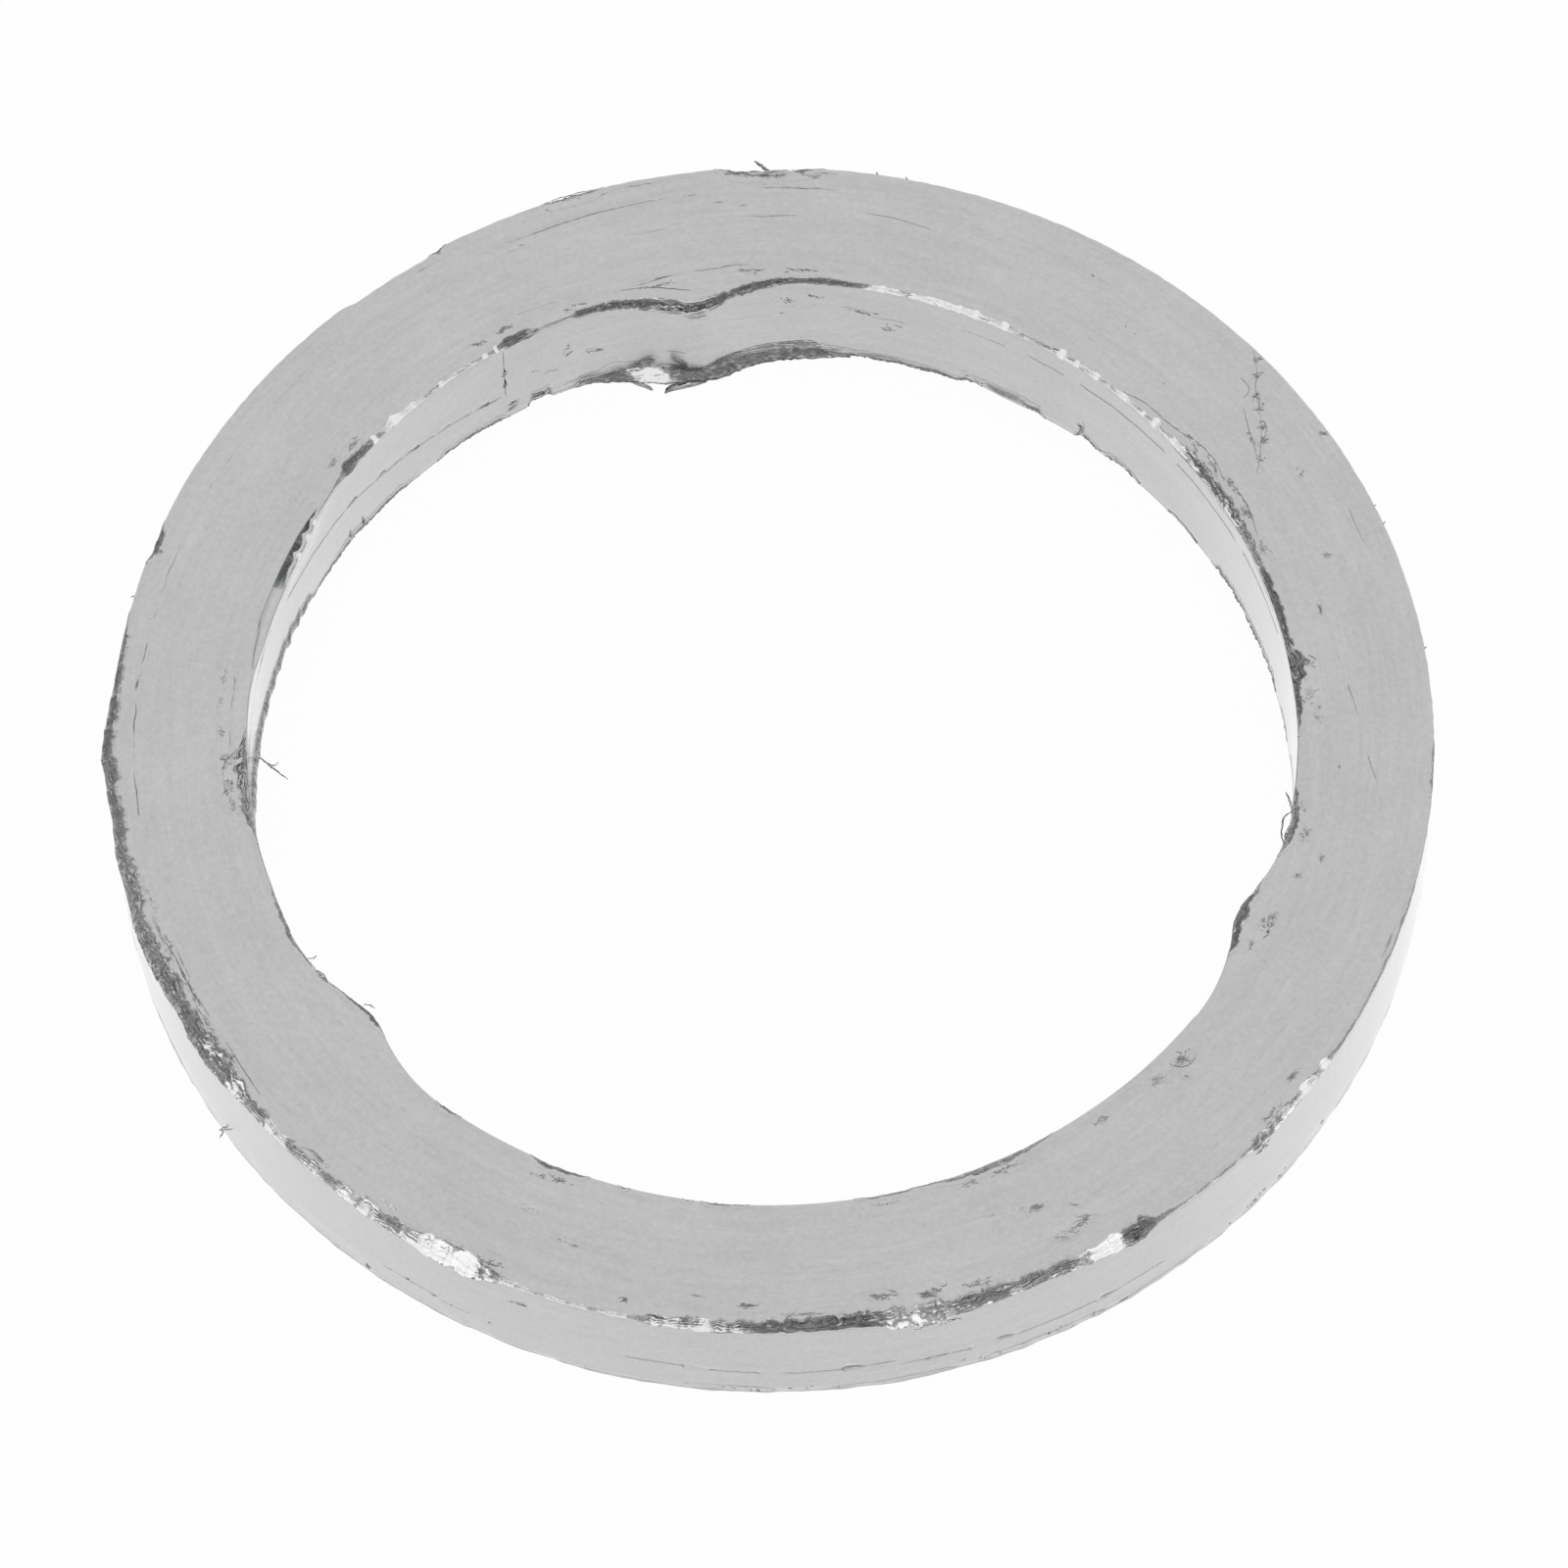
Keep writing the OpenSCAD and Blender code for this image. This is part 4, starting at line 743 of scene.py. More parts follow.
patches = [
    ["face", 267, 23.25, 0.38, 0.13, 0, 0.75, 0.1], ["face", 256.5, 23.6, 0.14, 0.1, 30, 0.8, 0.2],
    ["face", 262.5, 23.0, 0.3, 0.04, 0, 0.7, 0], ["face", 278.6, 23.25, 0.5, 0.2, 35, 0.6, 0.2],
    ["face", 280, 23.1, 0.35, 0.06, 30, 0.6, 0.1], ["face", 283, 23.55, 0.6, 0.14, 15, 0.65, 0.35],
    ["face", 287, 23.6, 0.5, 0.1, 10, 0.55, 0.3], ["face", 296, 23.1, 0.5, 0.12, 20, 0.5, 0.3],
    ["face", 299, 22.7, 0.5, 0.14, 25, 0.45, 0.3], ["face", 295, 21.5, 0.55, 0.16, 15, 0.5, 0.2],
    ["face", 291, 21.2, 0.35, 0.06, 10, 0.5, 0.1], ["face", 298.5, 22.1, 0.4, 0.08, 40, 0.5, 0.2],
    ["face", 322.3, 23.5, 0.35, 0.16, 20, 0.5, 0.3], ["face", 318, 23.8, 0.4, 0.08, 0, 0.6, 0.3],
    # The bright patches at 244.8 and 248.7 degrees are painted highlights.
    ["face", 244.8, 21.2, 0.4, 0.16, 20, 0.3, 0.55], ["face", 248.7, 21.95, 0.35, 0.05, 0, 0.4, 0.5],
    # The long patch at 338 degrees is painted shade on the rolled outer rim.
    ["face", 250.5, 22.0, 0.25, 0.03, 0, 0.7, 0], ["face", 338, 24.02, 1.7, 0.1, 0, 0.42, 0],
    ["face", 205, 23.5, 1.5, 0.05, 0, 0.8, 0], ["face", 203, 23.35, 0.9, 0.04, 0, 0.7, 0],
    ["face", 199, 23.7, 1.0, 0.12, 0, 0.5, 0.3], ["face", 209, 23.62, 0.9, 0.08, 0, 0.55, 0.2],
    ["face", 214, 23.6, 0.5, 0.08, 0, 0.5, 0.2], ["face", 272.5, 23.62, 1.4, 0.1, 0, 0.55, 0],
    ["face", 57.5, 22.85, 0.07, 0.05, 30, 0.9, 0],
    ["face", 50.5, 21.65, 0.05, 0.04, 0, 0.8, 0], ["face", 51.7, 21.7, 0.05, 0.04, 0, 0.7, 0],
    ["face", 44.5, 20.75, 0.06, 0.04, 0, 0.7, 0], ["face", 94.3, 22.8, 0.2, 0.03, 0, 0.8, 0],
    ["face", 92, 22.6, 0.15, 0.03, 0, 0.7, 0], ["face", 113.6, 22.9, 0.15, 0.04, 20, 0.6, 0],
    ["face", 355, 20.8, 0.1, 0.06, 0, 0.7, 0], ["face", 344.5, 20.7, 0.14, 0.08, 40, 0.6, 0.2],
    ["face", 341.8, 20.1, 0.16, 0.1, 30, 0.6, 0.3], ["face", 19, 21.75, 0.16, 0.1, 40, 0.55, 0.1],
    ["face", 28.2, 22.45, 0.28, 0.03, 60, 0.6, 0], ["face", 336, 19.6, 0.4, 0.25, 30, 0.6, 0.25],
    ["face", 347, 20.0, 0.3, 0.12, 10, 0.5, 0.35], ["face", 306, 19.9, 0.35, 0.1, 20, 0.5, 0.2],
    ["face", 313.4, 19.9, 0.35, 0.16, 40, 0.55, 0.25], ["face", 317, 20.0, 0.4, 0.2, 50, 0.6, 0.25],
    ["face", 315.8, 20.6, 0.3, 0.1, 60, 0.45, 0.2], ["face", 4, 19.8, 0.4, 0.16, 20, 0.45, 0.3],
    ["face", 2, 20.1, 0.2, 0.08, 50, 0.5, 0.2], ["face", 27, 19.75, 0.5, 0.16, 20, 0.6, 0.3],
    ["face", 33, 19.8, 0.5, 0.12, 30, 0.6, 0.3], ["face", 36.5, 19.75, 0.45, 0.08, 20, 0.6, 0.2],
    ["face", 183, 19.95, 0.5, 0.14, 60, 0.5, 0.4], ["face", 186, 20.1, 0.3, 0.1, 40, 0.5, 0.4],
    ["face", 141, 19.8, 0.35, 0.12, 40, 0.55, 0.35], ["face", 144.5, 19.9, 0.3, 0.08, 30, 0.5, 0.3],
    ["face", 123, 19.9, 0.3, 0.06, 30, 0.6, 0.2], ["face", 89.5, 24.0, 0.9, 0.1, 0, 0.6, 0.35],
    ["face", 84.5, 24.05, 0.6, 0.05, 0, 0.5, 0.2], ["face", 234, 23.6, 0.6, 0.1, 0, 0.4, 0.35],
    ["face", 226, 23.75, 0.5, 0.1, 10, 0.6, 0.3], ["face", 102, 19.9, 0.5, 0.05, 0, 0.45, 0.3],
    # The dark bore patches near the foot, below the first dent's crest and beside the strip end are painted shade.
    ["bore", 103.5, 0.95, 0.34, 0.4, 20, 0.75, 0], ["bore", 87.5, 0.7, 1.9, 0.26, 0, 1.0, 0],
    ["bore", 84, 0.55, 1.4, 0.22, 0, 0.85, 0], ["bore", 91.5, 0.62, 1.2, 0.22, 0, 0.9, 0],
    ["bore", 97.5, 0.55, 1.9, 0.2, 0, 0.85, 0], ["bore", 110, 0.5, 0.9, 0.16, 0, 0.9, 0],
    ["bore", 77, 0.42, 1.6, 0.14, 0, 0.8, 0], ["bore", 107, 0.7, 0.8, 0.3, 0, 0.4, 0],
    ["bore", 98, 4.5, 0.6, 0.3, 0, 0.85, 0], ["bore", 100.6, 4.6, 0.6, 0.16, 0, 0.8, 0],
    ["bore", 116.4, 0.62, 0.4, 0.17, 0, 1.1, 0], ["bore", 120.6, 2.5, 0.06, 0.14, 0, 0.9, 0],
    ["bore", 120.7, 3.3, 0.05, 0.12, 0, 0.9, 0], ["bore", 119.4, 0.7, 0.1, 0.3, 20, 0.7, 0],
    ["bore", 62, 0.5, 1.6, 0.3, 0, 0.8, 0], ["bore", 52, 0.85, 0.08, 0.55, 0, 1.0, 0],
    ["bore", 46.5, 0.4, 0.5, 0.14, 0, 0.8, 0], ["bore", 67.3, 0.8, 0.1, 0.2, 20, 0.5, 0],
    ["bore", 88.2, 3.0, 0.1, 0.03, 10, 0.8, 0], ["bore", 80, 3.6, 0.5, 0.04, 8, 0.4, 0],
    ["bore", 76, 3.2, 0.7, 0.05, 0, 0.35, 0], ["bore", 100.6, 1.7, 0.35, 0.03, 0, 0.5, 0],
    ["bore", 113, 3.0, 0.05, 0.4, 20, 0.4, 0], ["bore", 109.5, 2.2, 0.4, 0.14, 30, 0.4, 0],
    ["bore", 115, 1.9, 0.25, 0.04, 15, 0.5, 0], ["bore", 117, 2.4, 0.2, 0.03, 20, 0.5, 0],
    ["bore", 142.3, 0.7, 0.06, 0.4, 0, 0.8, 0], ["bore", 144.6, 0.75, 0.06, 0.35, 0, 0.8, 0],
    ["bore", 157, 0.75, 0.8, 0.25, 0, 0.9, 0], ["bore", 166, 0.6, 1.2, 0.2, 0, 0.7, 0.3],
    ["bore", 178, 0.7, 1.2, 0.25, 0, 0.8, 0.2], ["bore", 20, 0.42, 1.6, 0.14, 0, 0.8, 0],
    ["bore", 1.5, 0.45, 0.8, 0.14, 0, 0.7, 0], ["bore", 10, 4.85, 2.2, 0.18, 0, 0.7, 0],
    ["bore", 16, 4.9, 1.8, 0.16, 0, 0.75, 0], ["bore", 30, 4.95, 2.0, 0.14, 0, 0.6, 0],
    ["outer", 237, 1.5, 0.9, 0.03, 0, 0.35, 0], ["outer", 241, 1.3, 0.7, 0.03, 0, 0.35, 0],
    ["outer", 232, 0.4, 0.03, 0.25, 0, 0.9, 0], ["outer", 278.7, 1.9, 0.45, 0.035, 0, 0.9, 0],
    ["outer", 289.2, 1.65, 0.36, 0.035, 0, 0.9, 0], ["outer", 265, 0.5, 1.6, 0.12, 0, 0.25, 0],
    ["outer", 293, 0.4, 2.4, 0.2, 0, 0.22, 0], ["outer", 280, 0.3, 2.2, 0.14, 0, 0.25, 0],
    ["outer", 306, 0.3, 2.0, 0.14, 0, 0.25, 0], ["outer", 247, 3.9, 0.4, 0.05, 30, 0.4, 0],
    ["outer", 204, 0.3, 1.6, 0.1, 0, 0.5, 0],
]


def buildPatches(rows):
    rings, count = np.linspace(0.12, 1, 7), 26
    places, faces, shadeAndMarksParts, gleams = [], [], [], []
    start = 0
    for number, (surface, angle, level, long, wide, turn, shadeAndMarks, gleam) in enumerate(rows):
        around = np.linspace(0, 2 * math.pi, count, endpoint=False)
        ragged = 1 + 0.3 * noise(np.degrees(around), 0 * around + number % 60, 9, 101) \
            + 0.22 * noise(np.degrees(around), 0 * around + number % 60, 23, 102)
        u = long * np.outer(rings, np.cos(around) * ragged)
        v = wide * np.outer(rings, np.sin(around) * ragged)
        lean = math.radians(turn)
        u, v = u * math.cos(lean) - v * math.sin(lean), u * math.sin(lean) + v * math.cos(lean)
        if surface == "face":
            radius = level + v
            angles = angle + np.degrees(u / level)
            z = faceLevel(angles, radius) + 0.005
        else:
            mean = boreR if surface == "bore" else outerR
            angles = angle + np.degrees(u / mean)
            z = np.clip(level + v, 0.02, height - 0.03)
            radius = innerWall(angles, z) - 0.006 if surface == "bore" else outerWall(angles, z) + 0.006
        places.append(polar(radius, angles, z))
        index = start + np.arange(len(rings) * count).reshape(len(rings), count)
        a, b = index[:-1], index[1:]
        quads = np.stack([a, b, np.roll(b, -1, axis=1), np.roll(a, -1, axis=1)], axis=-1).reshape(-1, 4)
        faces += quads.tolist() + [index[0].tolist()]
        shade = (1 - rings ** 2)[:, None] * np.ones((1, count))
        shadeAndMarksParts.append((shadeAndMarks * shade * 1.15).reshape(-1))
        gleams.append((gleam * shade * 1.1).reshape(-1))
        start += len(rings) * count
    return np.concatenate(places), faces, np.concatenate(shadeAndMarksParts), np.concatenate(gleams)


addPiece("marksShadeAndHighlights", *buildPatches(patches))


# Curled shreds, hairs and scratches: thickness, darkness, gleam (a painted highlight), points of angle, radius and
# height

shreds = [
    # outlines of the long scratch on the face
    [0.014, 0.7, 0, [30.4, 21.0, 5.305], [31.6, 21.45, 5.305], [33, 21.85, 5.305], [34.2, 22.2, 5.305], [35.4, 22.5, 5.305]],
    [0.014, 0.7, 0, [32, 21.4, 5.305], [33.6, 21.65, 5.305], [35.6, 21.95, 5.305], [37.2, 22.25, 5.305]],
    [0.014, 0.7, 0, [35.4, 22.5, 5.305], [36.6, 22.8, 5.305], [38, 23.1, 5.305], [39, 23.5, 5.305], [40.2, 23.9, 5.305],
     [41.2, 24.15, 5.3]],
    [0.013, 0.6, 0, [37.9, 22.5, 5.305], [38.3, 22.9, 5.305], [38.9, 23.0, 5.305], [39.8, 23.0, 5.305]],
    [0.016, 0.6, 0.4, [33.4, 22.1, 5.305], [34, 22.4, 5.305], [34.8, 22.5, 5.305], [34.9, 22.3, 5.305], [34.3, 22.15, 5.305]],
    [0.015, 0.6, 0.4, [36.4, 22.75, 5.305], [36.9, 22.95, 5.305], [37.4, 22.85, 5.305], [37.1, 22.65, 5.305]],
    # hairs that stand off the walls and edges
    [0.035, 0.8, 0, [174.2, 19.28, 0.5], [174.7, 19.0, 0.5], [175.2, 18.7, 0.35], [175.8, 18.4, 0.3], [176.6, 18.0, 0.2]],
    [0.03, 0.7, 0, [174.9, 18.8, 0.4], [175.3, 18.55, 0.45], [174.8, 18.4, 0.45]],
    [0.035, 0.8, 0, [345, 19.3, 5.05], [346.6, 19.05, 5.0], [348.6, 19.02, 5.05], [349.6, 19.3, 5.15]],
    [0.04, 0.8, 0, [349.2, 19.3, 5.15], [350.4, 19.15, 5.2], [351.6, 18.95, 5.22]],
    [0.03, 0.7, 0.2, [344.6, 19.4, 5.2], [346.2, 19.2, 5.2], [347.6, 19.25, 5.2]],
    [0.07, 0.8, 0, [89.2, 24.0, 5.2], [89.9, 24.2, 5.24], [90.3, 24.36, 5.25], [90.8, 24.52, 5.26]],
    [0.035, 0.8, 0.2, [213.6, 24.22, 0.35], [213.9, 24.4, 0.3], [214.1, 24.55, 0.3]],
    [0.03, 0.8, 0, [213.4, 24.25, 0.3], [213.7, 24.38, 0.42], [213.6, 24.44, 0.5]],
    [0.025, 0.8, 0, [208, 19.2, 5.2], [208.3, 19.0, 5.25], [208.2, 18.85, 5.25]],
    [0.03, 0.7, 0.5, [209.4, 19.25, 5.25], [210.4, 19.05, 5.28], [211.4, 19.05, 5.28], [212, 19.15, 5.28]],
    [0.03, 0.8, 0, [216.2, 18.5, 5.2], [216.6, 18.32, 5.2], [217.4, 18.25, 5.2]],
    [0.025, 0.8, 0, [165.2, 24.2, 5.2], [165.5, 24.38, 5.25]], [0.025, 0.8, 0, [20.2, 24.2, 5.2], [20.5, 24.36, 5.25]],
    [0.025, 0.8, 0, [22.2, 24.2, 5.2], [22.4, 24.34, 5.22]], [0.025, 0.8, 0, [7.3, 24.2, 5.2], [7.6, 24.34, 5.22]],
    [0.03, 0.8, 0, [77, 24.2, 5.2], [77.3, 24.34, 5.25]], [0.03, 0.8, 0, [79.7, 24.2, 5.2], [80, 24.36, 5.25]],
    # lines that follow the torn edges
    [0.016, 0.7, 0.2, [24, 19.75, 5.305], [27, 19.98, 5.305], [30, 20.0, 5.305], [32, 19.85, 5.305]],
    [0.016, 0.7, 0.2, [31.5, 19.8, 5.305], [34, 20.02, 5.305], [37, 19.95, 5.305], [40, 19.7, 5.305], [44, 19.65, 5.305],
     [47, 19.45, 5.305]],
    [0.014, 0.6, 0.2, [181, 19.6, 5.305], [183, 20.1, 5.305], [185.4, 20.15, 5.305], [187.4, 19.95, 5.305]],
    [0.014, 0.6, 0, [98.5, 19.1, 5.305], [100.5, 19.3, 5.305], [103, 19.55, 5.305], [106, 19.7, 5.305]],
    # The two pale lines along the first dent's top edge are painted highlights.
    [0.03, 0.2, 1.1, [95.2, 18.76, 5.3], [96.8, 18.63, 5.3], [98.6, 18.58, 5.3], [100.4, 18.78, 5.3]],
    [0.026, 0.2, 1, [99.8, 18.77, 5.3], [101.6, 18.89, 5.3], [103.4, 19.10, 5.3], [105, 19.17, 5.3]],
    [0.014, 0.7, 0, [315.6, 19.8, 5.305], [316.2, 20.2, 5.305], [317.4, 20.35, 5.305], [318.6, 20.2, 5.305]],
    [0.022, 0.8, 0, [110.4, 24.18, 5.22], [109.6, 24.26, 5.26], [108, 24.27, 5.28], [106, 24.24, 5.28], [104.6, 24.2, 5.28]],
    [0.016, 0.7, 0, [200, 23.62, 5.305], [203, 23.5, 5.305], [206, 23.46, 5.305], [209, 23.42, 5.305]],
    [0.016, 0.7, 0, [212, 23.4, 5.305], [215, 23.5, 5.305], [218, 23.62, 5.305]],
]


def buildShreds(rows):
    sides, perSpan = 6, 5
    places, faces, shadeAndMarksParts, gleams = [], [], [], []
    start = 0
    for number, (thick, shadeAndMarks, gleam, *points) in enumerate(rows):
        turn = np.radians([p[0] for p in points])
        knots = np.stack([[p[1] for p in points] * np.cos(turn), [p[1] for p in points] * np.sin(turn), [p[2] for p in points]], axis=1)
        padded = np.vstack([2 * knots[0] - knots[1], knots, 2 * knots[-1] - knots[-2]])
        line = []
        for k in range(1, len(padded) - 2):  # a smooth curve through the points
            for t in np.linspace(0, 1, perSpan, endpoint=False):
                a, b, c, d = padded[k - 1:k + 3]
                line.append(0.5 * (2 * b + (c - a) * t + (2 * a - 5 * b + 4 * c - d) * t * t + (3 * b - a - 3 * c + d) * t ** 3))
        line = np.array(line + [knots[-1]])
        random = np.random.default_rng(200 + number)
        line[:, :2] += random.uniform(-0.015, 0.015, (len(line), 2))
        forward = np.gradient(line, axis=0)
        forward /= np.linalg.norm(forward, axis=1)[:, None]
        sideways = np.cross(forward, [0, 0, 1.0])
        sideways /= np.linalg.norm(sideways, axis=1)[:, None] + 1e-9
        upward = np.cross(sideways, forward)
        share = np.linspace(0, 1, len(line))
        girth = thick * (0.25 + 0.75 * np.sin(np.clip(share, 0.02, 0.98) * math.pi) ** 0.6) * random.uniform(0.7, 1.2, len(line))
        ring = np.linspace(0, 2 * math.pi, sides, endpoint=False)
        tube = (line[:, None] + girth[:, None, None] * (np.cos(ring)[None, :, None] * sideways[:, None]
                + 0.6 * np.sin(ring)[None, :, None] * upward[:, None]))
        tube[..., 2] = np.clip(tube[..., 2], 0.01, None)
        places.append(tube.reshape(-1, 3))
        index = start + np.arange(len(line) * sides).reshape(len(line), sides)
        a, b = index[:-1], index[1:]
        faces += np.stack([a, b, np.roll(b, -1, axis=1), np.roll(a, -1, axis=1)], axis=-1).reshape(-1, 4).tolist()
        faces += [index[0].tolist(), index[-1][::-1].tolist()]
        shadeAndMarksParts.append(np.full(len(line) * sides, shadeAndMarks))
        gleams.append(gleam * (0.4 + 0.6 * random.uniform(0, 1, len(line) * sides)))
        start += len(line) * sides
    return np.concatenate(places), faces, np.concatenate(shadeAndMarksParts), np.concatenate(gleams)


# Hairy clusters: surface, angle, radius or height, half length, half width, strokes, lean, darkness, gleam (a painted
# highlight)

